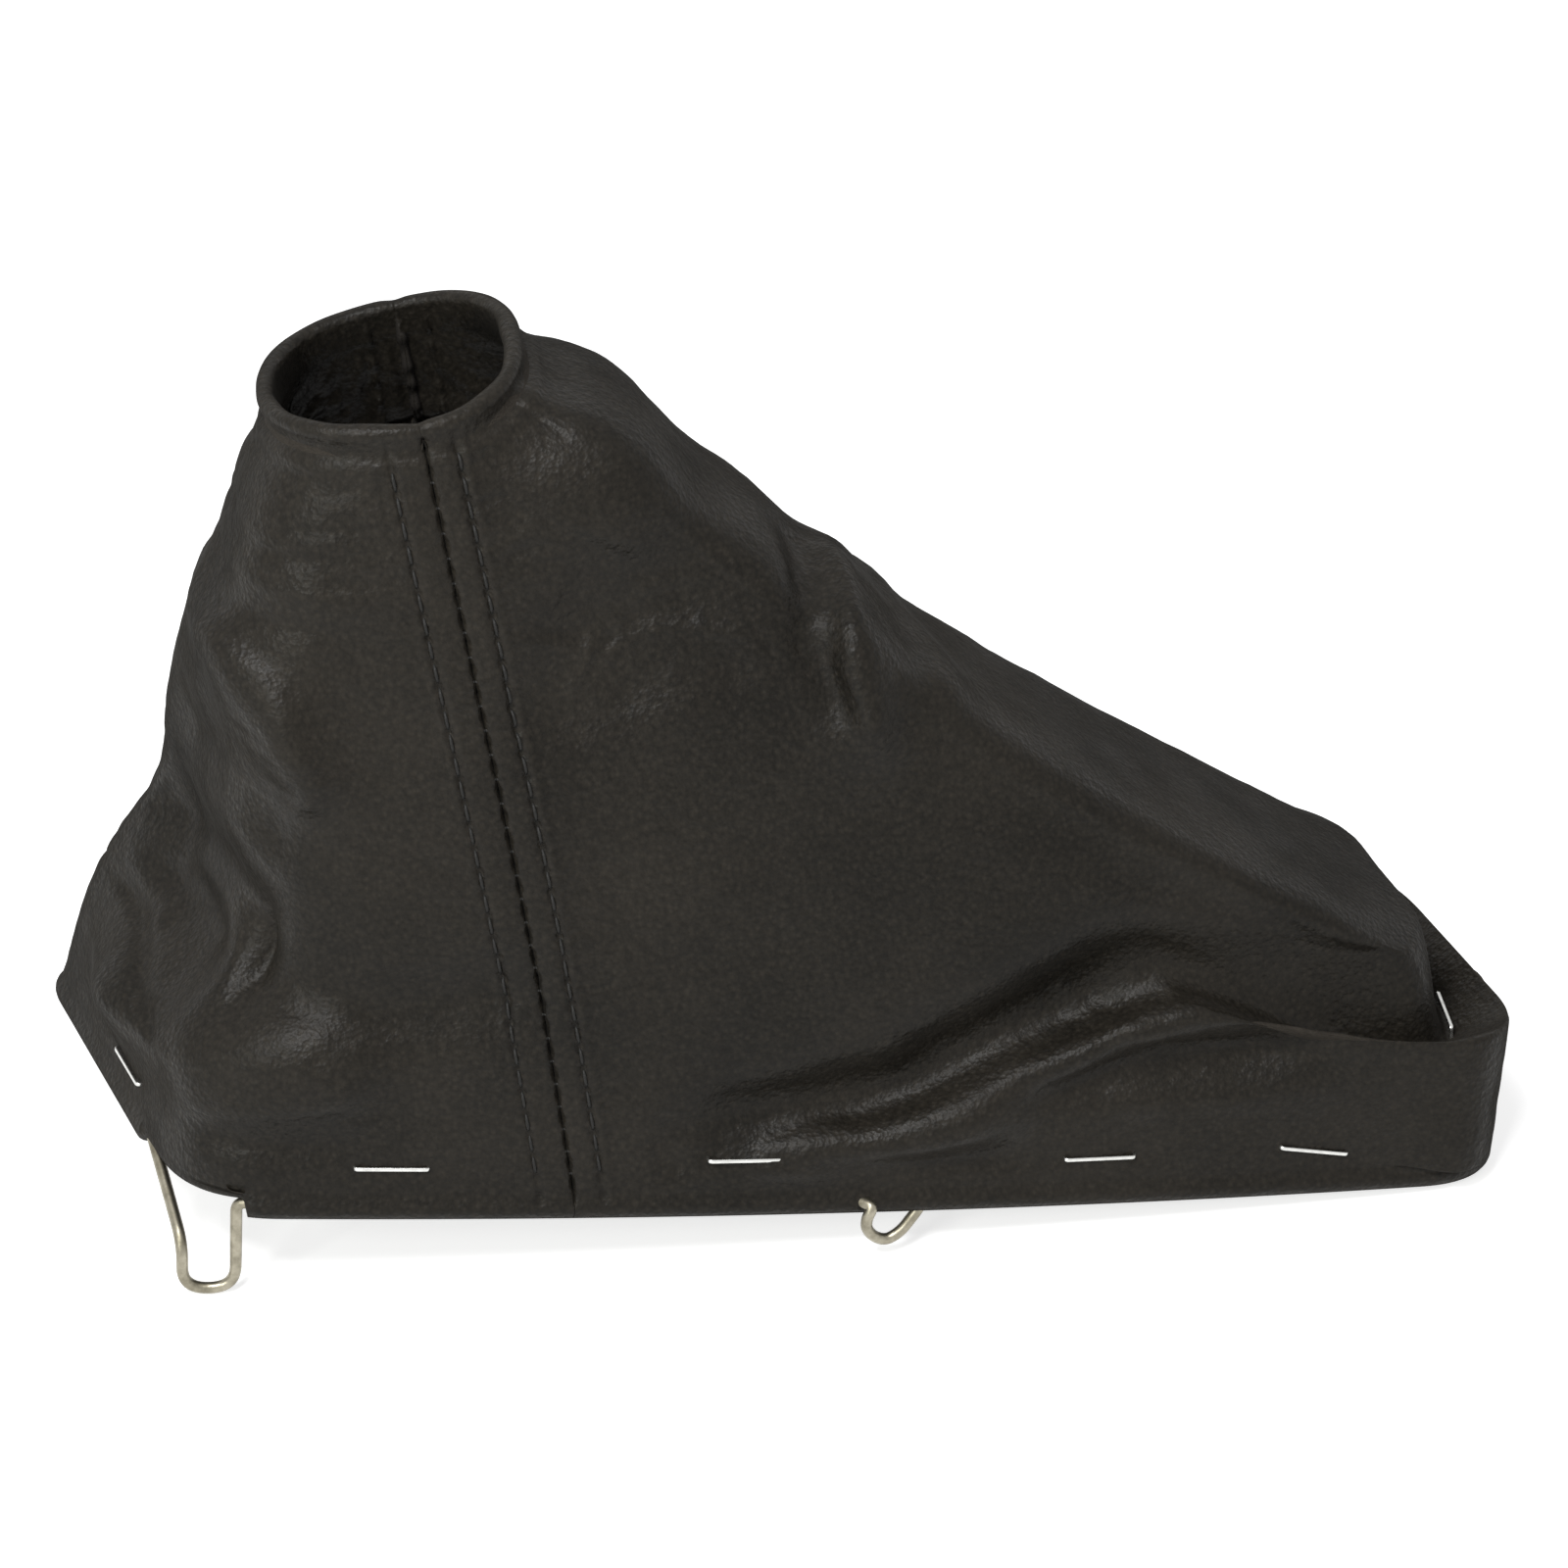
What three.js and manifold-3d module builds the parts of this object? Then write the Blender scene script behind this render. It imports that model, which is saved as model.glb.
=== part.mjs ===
// Leather gaiter for a parking brake lever: two sewn leather panels, a bent wire frame in the hem, staples.
// Millimetres, +Z up, +X towards the low rear end, -Y towards the side that carries the near seam.
import * as THREE from 'three';
import { mergeVertices } from 'three/addons/utils/BufferGeometryUtils.js';
import Module from 'manifold-3d';

const wasm = await Module();
wasm.setup();

// Hem outline, seen from above
const baseLength = 231;
const baseWidth = 72;
const sideBow = 4;
const frontSkew = 11;
const rearSkew = 5;
const cornerCuts = { rearNear: 15, rearFar: 26, frontFar: 8, frontNear: 14 };
const seamX = -42;

// Collar for the lever
const collarX = -74;
const collarHeight = 138;
const collarWidth = 45;
const collarLength = 42;
const collarTilt = THREE.MathUtils.degToRad(16);
const collarSquareness = 2.4;
const facingDepth = 16;

// Leather
const leather = 1.0;
const clearance = 0.3;
const seamGap = 0.3;
const allowanceWidth = 6;
const flapHeight = 12;
const grooveDepth = 0.8;
const grooveWidth = 1.5;
const lipHeight = 25;
const valleyRun = 9;
const valleyInset = 6;
const valleyHeight = 18;
const noseRun = 22;
const noseInset = 12;
const noseHeight = 37;
const rearCornerInset = 3.8;
const rearCornerReach = { from: 0.3, to: 0.9 };
const lipFall = 4;
const noseLean = 0.4;
const noseReach = { from: 0.8, to: 1.8 };
const lipStart = 34;
const lipFull = 8;
const rimBulge = 0.9;
const rimHeight = 4;
const footRise = 30;
const noseRise = 112;
const neckPull = 20;
const rearNeckPull = 0;
const seamTurn = THREE.MathUtils.degToRad(8);
const seamSpread = THREE.MathUtils.degToRad(22);
const seamSpreadArc = 10;
const cornerShare = 0.5;
const foldsStart = 3;
const foldsFull = 16;
const foldsTop = 12;

// Wire frame
const wireDiameter = 2;
const longClipDrop = 16;
const longClipWidth = 8.8;
const shortClipDrop = 5.6;
const shortClipWidth = 8.6;
const shortClipX = 10.5;
const shortClipBend = 1.4;
const shortClipLean = 0.6;
const shortClipRun = 10.3;
const wireEndGap = 1.2;
const wireBend = 2.5;
const clipLead = 4;
const longClipX = -97.5;
const longClipShoulder = 6;
const longClipMouth = { near: 26, far: 14 };

// Staples
const stapleCrown = 12.7;
const stapleWidth = 0.7;
const stapleThickness = 0.5;
const sideStapleHeights = [9, 10, 8.2, 8.2];
const frontStapleHeight = 8;
const frontStapleY = -4;
const stapleClinch = 4;
const stapleClearance = 0.3;
const sideStapleXs = [-72, -12, 49, 87];
const rearStapleY = 18.5;

// Mesh density
const outlineSamples = 1440;
const rearColumns = 33;
const frontColumns = 23;
const bodyRows = 15;
const wireSides = 8;
const beadSides = 8;
const differenceStep = 0.4;

const up = new THREE.Vector3(0, 0, 1);
const beadInner = wireDiameter / 2 + clearance;
const beadOuter = beadInner + leather;
const cutHeight = 2 * beadOuter + 0.1;
const footOffset = leather + clearance / 2;
const footHeight = 2 * beadOuter;
const layers = 2 * leather + clearance;

const material = (color, roughness, metalness) => (
  new THREE.MeshStandardMaterial({ color, roughness, metalness }));
const leatherMaterial = () => material(0x2e2b28, 0.55, 0);
const wireMaterial = () => material(0x99947f, 0.35, 1);
const stapleMaterial = () => material(0xd8d8d4, 0.2, 1);

// Hem outline: closed, anticlockwise from the foot of the near seam, in evenly spaced points.
function hemOutline() {
  const corners = [
    [baseLength / 2 + rearSkew, -baseWidth / 2, cornerCuts.rearNear],
    [baseLength / 2 - rearSkew, baseWidth / 2, cornerCuts.rearFar],
    [-baseLength / 2 - frontSkew, baseWidth / 2, cornerCuts.frontFar],
    [-baseLength / 2 + frontSkew, -baseWidth / 2, cornerCuts.frontNear],
  ].map(([x, y, cut]) => ({ at: new THREE.Vector2(x, y), cut }));
  const path = new THREE.Path().moveTo(seamX, -baseWidth / 2);
  corners.forEach(({ at, cut }, i) => {
    const before = corners[(i + 3) % 4].at.clone().sub(at).setLength(cut).add(at);
    const after = corners[(i + 1) % 4].at.clone().sub(at).setLength(cut).add(at);
    path.lineTo(before.x, before.y).quadraticCurveTo(at.x, at.y, after.x, after.y);
  });
  path.lineTo(seamX, -baseWidth / 2);
  const bowed = path.getSpacedPoints(outlineSamples).map(({ x, y }) => {
    const along = (2 * x) / baseLength;
    return new THREE.Vector2(x, y * (1 + (Math.max(0, 1 - along * along) * 2 * sideBow) / baseWidth));
  });
  const arcs = [0];
  for (let i = 1; i < bowed.length; i++) arcs.push(arcs[i - 1] + bowed[i].distanceTo(bowed[i - 1]));
  return { points: bowed, arcs, total: arcs.at(-1) };
}

const hem = hemOutline();

// Position and outward direction at an arc length round the hem.
function hemAt(arc) {
  const a = ((arc % hem.total) + hem.total) % hem.total;
  let low = 0;
  let high = hem.arcs.length - 1;
  while (high - low > 1) {
    const middle = (low + high) >> 1;
    if (hem.arcs[middle] <= a) low = middle;
    else high = middle;
  }
  const share = (a - hem.arcs[low]) / (hem.arcs[high] - hem.arcs[low]);
  const point = hem.points[low].clone().lerp(hem.points[high], share);
  const last = hem.points.length - 1;
  const before = hem.points[(low + last - 1) % last];
  const after = hem.points[(high + 1) % last];
  const run = after.clone().sub(before).normalize();
  return { point, out: new THREE.Vector2(run.y, -run.x) };
}

// Arc length at which the far side passes a station along X.
function farArcAt(x) {
  const n = hem.points.length - 1;
  for (let i = 1; i < n; i++) {
    const a = hem.points[i - 1];
    const b = hem.points[i];
    if (a.y > 0 && a.x >= x && b.x < x) return hem.arcs[i - 1] + (a.x - x);
  }
  return hem.total / 2;
}

function nearArcAt(x) {
  const n = hem.points.length - 1;
  for (let i = 1; i <= n; i++) {
    const a = hem.points[i - 1];
    const b = hem.points[i];
    if (b.y < 0 && a.x < x && b.x >= x) return hem.arcs[i];
  }
  return 0;
}

// Arc length at which the rear end, or the front end, passes a station across.
function rearArcAt(y) {
  const passes = (point, k) => k > 0 && point.x > seamX && hem.points[k - 1].y < y && point.y >= y;
  return hem.arcs[hem.points.findIndex(passes)];
}

function frontArcAt(y) {
  const passes = (point, k) => k > 0 && point.x < seamX && hem.points[k - 1].y > y && point.y <= y;
  return hem.arcs[hem.points.findIndex(passes)];
}

const farSeamArc = farArcAt(seamX);
const panelSpans = { rear: [0, farSeamArc], front: [farSeamArc, hem.total] };
const seamDistance = (arc) => Math.min(...[0, farSeamArc, hem.total].map((seam) => Math.abs(arc - seam)));

// Direction that the hem faces at each of its points, without a jump at the half turn.
const outAngles = (() => {
  const angles = [];
  let last = -Math.PI / 2;
  for (let i = 0; i < hem.points.length; i++) {
    const { out } = hemAt(hem.arcs[i]);
    let angle = Math.atan2(out.y, out.x);
    while (angle < last - Math.PI) angle += 2 * Math.PI;
    while (angle > last + Math.PI) angle -= 2 * Math.PI;
    angles.push(angle);
    last = angle;
  }
  return angles;
})();

// Angle round the collar that a point of the hem is drawn up to: near -90, rear 0, far 90, front 180.
function collarAngle(arc) {
  const a = ((arc % hem.total) + hem.total) % hem.total;
  const inRear = a <= farSeamArc;
  const [start, end] = inRear ? panelSpans.rear : panelSpans.front;
  const base = inRear ? -Math.PI / 2 : Math.PI / 2;
  const into = a - start;
  const span = end - start;
  const index = Math.min(outAngles.length - 1, Math.round((a / hem.total) * outlineSamples));
  const turned = THREE.MathUtils.clamp(outAngles[index] - base, 0, Math.PI);
  const mixed = cornerShare * turned + (1 - cornerShare) * Math.PI * (into / span);
  const spread = (run) => seamSpread * (1 - Math.exp(-run / seamSpreadArc));
  const between = ((Math.PI - 2 * seamSpread) / Math.PI) * mixed;
  const wrapped = base + spread(into) + between + seamSpread - spread(span - into);
  return wrapped + seamTurn * Math.sin(-wrapped) ** 3;
}

// Collar: points on a tilted, slightly squared ring, and the direction of its axis.
const collarAxis = new THREE.Vector3(-Math.sin(collarTilt), 0, Math.cos(collarTilt));
const collarCentre = new THREE.Vector3(collarX, 0, collarHeight);
const collarAcross = new THREE.Vector3(Math.cos(collarTilt), 0, Math.sin(collarTilt));
function collarPlace(angle, offset, down) {
  const along = Math.cos(angle);
  const side = Math.sin(angle);
  const square = collarSquareness;
  const swell = (Math.abs(along) ** square + Math.abs(side) ** square) ** (-1 / square);
  return collarCentre.clone().addScaledVector(collarAxis, -down)
    .addScaledVector(collarAcross, along * (swell * (collarLength / 2) + offset))
    .add(new THREE.Vector3(0, side * (swell * (collarWidth / 2) + offset), 0));
}

// How much a point of the hem belongs to the long slope to the rear: 0 at the seams, 1 at the rear end.
function rearShare(arc) {
  const { point } = hemAt(arc);
  return THREE.MathUtils.smoothstep(point.x, seamX, baseLength / 2);
}

// Taut surface of the boot between the crease over the hem (w = 0) and the groove under the rim (w = 1).
function tautWall(arc, w) {
  const { point, out } = hemAt(arc);
  const foot = new THREE.Vector3(point.x + out.x * footOffset, point.y + out.y * footOffset, footHeight);
  const top = collarPlace(collarAngle(arc), 0, rimHeight);
  const place = foot.clone().lerp(top, w);
  const rearward = rearShare(arc);
  const pull = THREE.MathUtils.lerp(neckPull, rearNeckPull, rearward);
  place.addScaledVector(up, footRise * w * (1 - w) ** 2 + noseRise * rearward * w * (1 - w) ** 4);
  return place.addScaledVector(collarAxis, -pull * w * w * (1 - w));
}

const wallLength = (arc) => tautWall(arc, 0).distanceTo(tautWall(arc, 1));

// Folds, creases and gathers of the leather. Each runs along [share of the panel from near to far seam, share
// of the height from hem to collar], stands off the taut surface by its height (below it where negative), and
// fades to half at about 0.8 of its width.
const folds = [
  // Front end: neck, waist and the fullness over the hem
  { panel: 'front', line: [[0.3, 0.3], [0.5, 0.3], [0.8, 0.33]], height: -12, width: 15 },
  { panel: 'front', line: [[0.3, 0.85], [0.35, 0.65], [0.8, 0.67], [0.8, 0.85]], height: 3.5, width: 18 },
  { panel: 'front', line: [[0.45, 0.09], [0.8, 0.09]], height: 8, width: 12 },
  // Creases of the near front flank
  { panel: 'front', line: [[0.5, 0.74], [0.32, 0.72], [0.26, 0.65], [0.23, 0.57]], height: 3, width: 6 },
  { panel: 'front', line: [[0.5, 0.52], [0.34, 0.54], [0.26, 0.49]], height: -3, width: 7 },
  { panel: 'front', line: [[0.55, 0.27], [0.46, 0.31], [0.37, 0.3], [0.32, 0.25]], height: 3, width: 6 },
  { panel: 'front', line: [[0.33, 0.15], [0.27, 0.18], [0.2, 0.18]], height: 4, width: 10 },
  { panel: 'front', line: [[0.28, 0.26], [0.18, 0.23], [0.12, 0.24], [0.04, 0.26]], height: -2.5, width: 7 },
  // Shoulder behind the collar and the hollow beside the near seam
  { panel: 'rear', line: [[0.38, 0.9], [0.62, 0.9]], height: 5, width: 15 },
  { panel: 'rear', line: [[0.48, 0.77], [0.6, 0.77]], height: 3, width: 13 },
  { panel: 'rear', line: [[0.06, 0.66], [0.16, 0.74], [0.28, 0.77]], height: -2.5, width: 9 },
  { panel: 'rear', line: [[0.54, 0.68], [0.46, 0.68], [0.4, 0.65], [0.33, 0.57]], height: 3, width: 7 },
  // Long valley and ridges along the near side
  { panel: 'rear', line: [[0.08, 0.1], [0.16, 0.13], [0.23, 0.2], [0.3, 0.24], [0.4, 0.26]],
    height: -4, width: 8 },
  { panel: 'rear', line: [[0.08, 0.05], [0.15, 0.07], [0.24, 0.13], [0.3, 0.16], [0.38, 0.18]],
    height: 3, width: 6 },
  { panel: 'rear', line: [[0.23, 0.07], [0.28, 0.1], [0.33, 0.1], [0.39, 0.13]], height: -2.5, width: 5 },
  // The same kinds of fold on the far side
  { panel: 'rear', line: [[0.92, 0.12], [0.84, 0.16], [0.76, 0.24], [0.68, 0.27], [0.6, 0.26]],
    height: -4, width: 9 },
  { panel: 'rear', line: [[0.9, 0.06], [0.8, 0.1], [0.7, 0.17], [0.62, 0.18]], height: 3, width: 7 },
  { panel: 'rear', line: [[0.9, 0.55], [0.78, 0.6], [0.66, 0.72]], height: -2.5, width: 9 },
  { panel: 'front', line: [[0.78, 0.7], [0.86, 0.55], [0.9, 0.4]], height: 3, width: 8 },
  { panel: 'front', line: [[0.75, 0.2], [0.85, 0.24], [0.95, 0.22]], height: -2.5, width: 8 },
];

const panelArc = (panel, share) => THREE.MathUtils.lerp(
  ...panelSpans[panel], panel === 'rear' ? share : 1 - share);

const foldLines = folds.map(({ panel, line, height, width }) => ({
  points: line.map(([share, w]) => tautWall(panelArc(panel, share), w)), height, width }));

function foldHeight(place) {
  let sum = 0;
  for (const { points, height, width } of foldLines) {
    let nearest = Infinity;
    for (let i = 1; i < points.length; i++) {
      const stretch = new THREE.Line3(points[i - 1], points[i]);
      const closest = stretch.closestPointToPoint(place, true, new THREE.Vector3());
      nearest = Math.min(nearest, closest.distanceToSquared(place));
    }
    sum += height * Math.exp(-nearest / (width * width));
  }
  return sum;
}

// How strongly the rear lip shows at a point of the hem: 1 across the rear end, 0 ahead of the rear corners.
function lipShare(arc) {
  const { point } = hemAt(arc);
  return THREE.MathUtils.smoothstep(point.x, baseLength / 2 - lipStart, baseLength / 2 - lipFull);
}

// Rear end of the leather by the distance up it: an upright lip, lower at the far side, the valley behind it
// and the nose of the slope, both further in at the corners. Each station gives that distance, how far in from
// the hem it lies and how high. Behind the valley the leather runs in first and rises after.
const valleyUp = lipHeight + valleyRun;
const noseUp = valleyUp + noseRun;
function lipProfile(up0, y) {
  const across = (2 * Math.abs(y)) / baseWidth;
  const corner = rearCornerInset * THREE.MathUtils.smoothstep(across, rearCornerReach.from, rearCornerReach.to);
  const fall = lipFall * (0.5 + y / baseWidth);
  const stations = [[0, 0, 0], [lipHeight, 0, lipHeight - fall],
    [valleyUp, valleyInset + corner, valleyHeight - fall / 2], [noseUp, noseInset + corner, noseHeight]];
  const next = Math.max(1, stations.findIndex(([run]) => run > up0));
  const [a, b] = up0 >= stations.at(-1)[0] ? stations.slice(-2) : [stations[next - 1], stations[next]];
  const share = THREE.MathUtils.smootherstep(up0, a[0], b[0]);
  const insetShare = b[0] === noseUp ? Math.sqrt(share) : share;
  return { inset: THREE.MathUtils.lerp(a[1], b[1], insetShare), height: THREE.MathUtils.lerp(a[2], b[2], share) };
}

function normalOf(surface, arc, w) {
  const stepW = differenceStep / wallLength(arc);
  const along = surface(arc + differenceStep, w).sub(surface(arc - differenceStep, w));
  const rise = surface(arc, Math.min(1, w + stepW)).sub(surface(arc, Math.max(0, w - stepW)));
  return along.cross(rise).normalize();
}

// Grain side of the leather, with its lip, folds and seam grooves.
function wall(arc, w) {
  const place = tautWall(arc, w);
  const normal = normalOf(tautWall, arc, w);
  const up0 = w * wallLength(arc);
  const fade = THREE.MathUtils.smoothstep(up0, foldsStart, foldsFull)
    * THREE.MathUtils.smoothstep((1 - w) * wallLength(arc), 0, foldsTop);
  place.addScaledVector(normal, foldHeight(place) * fade);
  const lip = lipShare(arc);
  if (lip > 0 && up0 > 0) {
    const { point, out } = hemAt(arc);
    const { inset, height } = lipProfile(up0, point.y);
    const foot = tautWall(arc, 0);
    const towards = tautWall(arc, 1).sub(foot).setZ(0).normalize();
    towards.lerp(new THREE.Vector3(-out.x, -out.y, 0), noseLean).normalize();
    const held = foot.addScaledVector(towards, inset).addScaledVector(up, height);
    const past = THREE.MathUtils.smoothstep(up0, noseReach.from * noseUp, noseReach.to * noseUp);
    place.lerp(held, lip * (1 - past));
  }
  return place.addScaledVector(normal, -seamGroove(arc));
}

const seamGroove = (arc) => grooveDepth * Math.exp(-((seamDistance(arc) / grooveWidth) ** 2));

// Rim rolled over at the top of the collar, from outside to inside: offset from the ring and distance down
// from its top, for the grain side and for the flesh side.
const rimProfile = [
  { grain: [rimBulge, 0.7 * rimHeight], flesh: [rimBulge - leather, 0.7 * rimHeight] },
  { grain: [rimBulge, 0.25 * rimHeight], flesh: [rimBulge - leather, 0.4 * rimHeight] },
  { grain: [-clearance, 0], flesh: [rimBulge - 1.4 * leather, leather] },
  { grain: [0.4 * leather - layers, 0], flesh: [rimBulge + 0.6 * leather - layers, leather] },
  { grain: [-0.5 * leather - layers, 0.3 * rimHeight], flesh: [0.1 - leather - clearance, 0.6 * rimHeight] },
];
const facingSlack = 0.2;
const flapRows = [1, 0.6, 0.06];
const hemRows = [0, 0.35, 0.7];
const facingRows = [0.4, 0.7, 1];
const rowGap = 0.6;

// Distances up the body of the wall at which it has its rows: even, apart from the rear end, where they
// follow the lip, the valley and the nose.
function bodyUps(arc, from, to) {
  const bends = [from, lipHeight, lipHeight + valleyRun / 2, valleyUp, valleyUp + noseRun / 2, noseUp];
  const left = bodyRows + 1 - bends.length;
  const slope = Array.from({ length: left }, (_, i) => THREE.MathUtils.lerp(noseUp, to, (i + 1) / left));
  return [...bends, ...slope].map((held, i) => {
    const even = THREE.MathUtils.lerp(from, to, i / bodyRows);
    return THREE.MathUtils.lerp(even, held, lipShare(arc));
  });
}

// Sheet of leather over a place of the hem: rows from the free edge of the inner flap, round the wire, up the
// wall, over the rim and down the facing; each row gives the grain side and the flesh side.
function sheetRows(arc) {
  const { point, out } = hemAt(arc);
  const length = wallLength(arc);
  const flat = (offset, z) => new THREE.Vector3(point.x + out.x * offset, point.y + out.y * offset, z);
  const inside = (up0, depth) => {
    const w = THREE.MathUtils.clamp(up0 / length, 0, 1);
    return wall(arc, w).addScaledVector(normalOf(wall, arc, w), -depth);
  };
  const rows = flapRows.map((share) => [
    inside(flapHeight * share, layers), inside(flapHeight * share, leather + clearance)]);
  const sector = 360 / beadSides;
  const corner = Math.cos(THREE.MathUtils.degToRad(sector / 2));
  for (let i = 0; i + 2 < beadSides; i++) {
    const angle = THREE.MathUtils.degToRad(180 - sector / 2 + sector * i);
    const [outward, upward] = [Math.cos(angle) / corner, Math.sin(angle) / corner];
    const side = (radius) => flat(outward * radius, beadOuter + upward * radius);
    rows.push([side(beadOuter), side(beadInner)]);
  }
  const bodyStart = flapHeight + rowGap;
  const bodyEnd = length - (facingDepth - rimHeight + rowGap);
  const ups = hemRows.map((share) => flapHeight * share);
  ups.push(...bodyUps(arc, bodyStart, bodyEnd));
  ups.push(length - 0.4 * facingDepth, length - leather, length);
  ups.forEach((up0) => {
    const doubled = seamDistance(arc) < allowanceWidth && up0 > bodyStart && up0 < bodyEnd;
    rows.push([inside(up0, 0), inside(up0, doubled ? 2 * leather : leather)]);
  });
  const angle = collarAngle(arc);
  const rim = ([offset, down]) => collarPlace(angle, offset - seamGroove(arc), down);
  rimProfile.forEach(({ grain, flesh }) => rows.push([rim(grain), rim(flesh)]));
  for (const share of facingRows) {
    const up0 = length + rimHeight - facingDepth * share;
    rows.push([inside(up0, layers + facingSlack), inside(up0, leather + clearance + facingSlack)]);
  }
  return rows;
}

// Columns of a panel: close together beside its seams and where the collar angle turns fast.
const hemWeight = 1.6;
function panelColumns(panel, count) {
  const [start, end] = panelSpans[panel];
  const edge = seamGap / 2;
  const allowanceStep = 0.2;
  const strip = [edge, grooveWidth, allowanceWidth - allowanceStep, allowanceWidth + allowanceStep];
  const arcs = strip.map((run) => start + run);
  const from = collarAngle(start + edge);
  const measure = (arc) => (hemWeight * (arc - start)) / (end - start) + (collarAngle(arc) - from) / Math.PI;
  const low = measure(start + allowanceWidth + 1);
  const high = measure(end - allowanceWidth - 1);
  let arc = start + allowanceWidth;
  for (let i = 1; i < count; i++) {
    const goal = THREE.MathUtils.lerp(low, high, i / count);
    while (measure(arc) < goal) arc += allowanceStep;
    arcs.push(arc);
  }
  return [...arcs, ...strip.reverse().map((run) => end - run)];
}

// Closed solid of a sheet whose rows give both of its sides.
function sheetSolid(arcs) {
  const columns = arcs.map(sheetRows);
  const rowCount = columns[0].length;
  const positions = [];
  columns.flat(2).forEach((place) => positions.push(...place.toArray()));
  const index = [];
  const id = (column, row, side) => 2 * (column * rowCount + row) + side;
  const quad = (a, b, c, d) => index.push(a, b, c, a, c, d);
  for (let i = 0; i + 1 < columns.length; i++) {
    for (let j = 0; j + 1 < rowCount; j++) {
      quad(id(i, j, 0), id(i + 1, j, 0), id(i + 1, j + 1, 0), id(i, j + 1, 0));
      quad(id(i, j, 1), id(i, j + 1, 1), id(i + 1, j + 1, 1), id(i + 1, j, 1));
    }
    const top = rowCount - 1;
    quad(id(i, 0, 0), id(i, 0, 1), id(i + 1, 0, 1), id(i + 1, 0, 0));
    quad(id(i, top, 0), id(i + 1, top, 0), id(i + 1, top, 1), id(i, top, 1));
  }
  for (let j = 0; j + 1 < rowCount; j++) {
    const last = columns.length - 1;
    quad(id(0, j, 0), id(0, j + 1, 0), id(0, j + 1, 1), id(0, j, 1));
    quad(id(last, j, 0), id(last, j, 1), id(last, j + 1, 1), id(last, j + 1, 0));
  }
  const geometry = new THREE.BufferGeometry();
  geometry.setAttribute('position', new THREE.Float32BufferAttribute(positions, 3));
  geometry.setIndex(index);
  return toSolid(geometry);
}

function toSolid(geometry) {
  const bare = geometry.clone();
  bare.deleteAttribute('normal');
  bare.deleteAttribute('uv');
  const merged = mergeVertices(bare, 1e-4);
  return new wasm.Manifold(new wasm.Mesh({
    numProp: 3,
    vertProperties: new Float32Array(merged.attributes.position.array),
    triVerts: new Uint32Array(merged.index.array),
  }));
}

function toGeometry(solid) {
  const mesh = solid.getMesh();
  const geometry = new THREE.BufferGeometry();
  geometry.setAttribute('position', new THREE.BufferAttribute(mesh.vertProperties, 3));
  geometry.setIndex(new THREE.BufferAttribute(mesh.triVerts, 1));
  geometry.computeVertexNormals();
  return geometry;
}

// Round bar along a chain of points, with flat ends.
function roundBar(points, radius, sides) {
  const positions = [];
  const index = [];
  const directionAt = (i) => points[Math.min(i + 1, points.length - 1)].clone()
    .sub(points[Math.max(i - 1, 0)]).normalize();
  let across = new THREE.Vector3(0, 0, 1).cross(directionAt(0));
  if (across.lengthSq() < 0.01) across = new THREE.Vector3(1, 0, 0);
  points.forEach((point, i) => {
    const direction = directionAt(i);
    across.addScaledVector(direction, -across.dot(direction)).normalize();
    const other = direction.clone().cross(across);
    for (let k = 0; k < sides; k++) {
      const angle = (2 * Math.PI * k) / sides;
      positions.push(...point.clone().addScaledVector(across, radius * Math.cos(angle))
        .addScaledVector(other, radius * Math.sin(angle)).toArray());
    }
  });
  for (let i = 0; i + 1 < points.length; i++) {
    for (let k = 0; k < sides; k++) {
      const next = (k + 1) % sides;
      const [a, b, c, d] = [i * sides + k, i * sides + next, (i + 1) * sides + next, (i + 1) * sides + k];
      index.push(a, b, c, a, c, d);
    }
  }
  const end = (points.length - 1) * sides;
  for (let k = 1; k + 1 < sides; k++) index.push(0, k + 1, k, end, end + k, end + k + 1);
  const geometry = new THREE.BufferGeometry();
  geometry.setAttribute('position', new THREE.Float32BufferAttribute(positions, 3));
  geometry.setIndex(index);
  return geometry;
}

// Chain of points through corners given with the radius of each.
function rounded(corners) {
  const steps = 5;
  const chain = [corners[0][0]];
  for (let i = 1; i + 1 < corners.length; i++) {
    const [corner, radius] = corners[i];
    const toBack = corners[i - 1][0].clone().sub(corner);
    const toFront = corners[i + 1][0].clone().sub(corner);
    const cut = Math.min(radius, toBack.length() * 0.49, toFront.length() * 0.49);
    const from = corner.clone().addScaledVector(toBack.normalize(), cut);
    const to = corner.clone().addScaledVector(toFront.normalize(), cut);
    const bend = new THREE.QuadraticBezierCurve3(from, corner, to);
    for (let k = 0; k <= steps; k++) chain.push(bend.getPoint(k / steps));
  }
  chain.push(corners.at(-1)[0]);
  return chain;
}

// Columns of both panels, which the wire follows too.
const rearArcs = panelColumns('rear', rearColumns);
const frontArcs = panelColumns('front', frontColumns);
const columnArcs = [...rearArcs, ...frontArcs];

// Wire: along the hem, with a long clip near each front corner and a short one on each side.
const onHem = (arc, offset = 0, rise = 0) => {
  const { point, out } = hemAt(arc);
  return new THREE.Vector3(point.x + out.x * offset, point.y + out.y * offset, beadOuter + rise);
};

const hemStretch = (from, to) => [from, ...columnArcs.filter((arc) => arc > from + 1 && arc < to - 1), to]
  .map((arc) => onHem(arc));

// Long clip under a point of the hem: straight legs, the wider mouth towards the front.
function longClip(backLeg) {
  const low = wireDiameter / 2 - longClipDrop;
  const front = backLeg.clone().setX(backLeg.x - longClipWidth);
  const at = (leg, z) => leg.clone().setZ(z);
  return [[at(front, -longClipShoulder), clipLead], [at(front, low), longClipWidth / 2],
    [at(backLeg, low), longClipWidth / 2], [at(backLeg, beadOuter), wireBend]];
}

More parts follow.
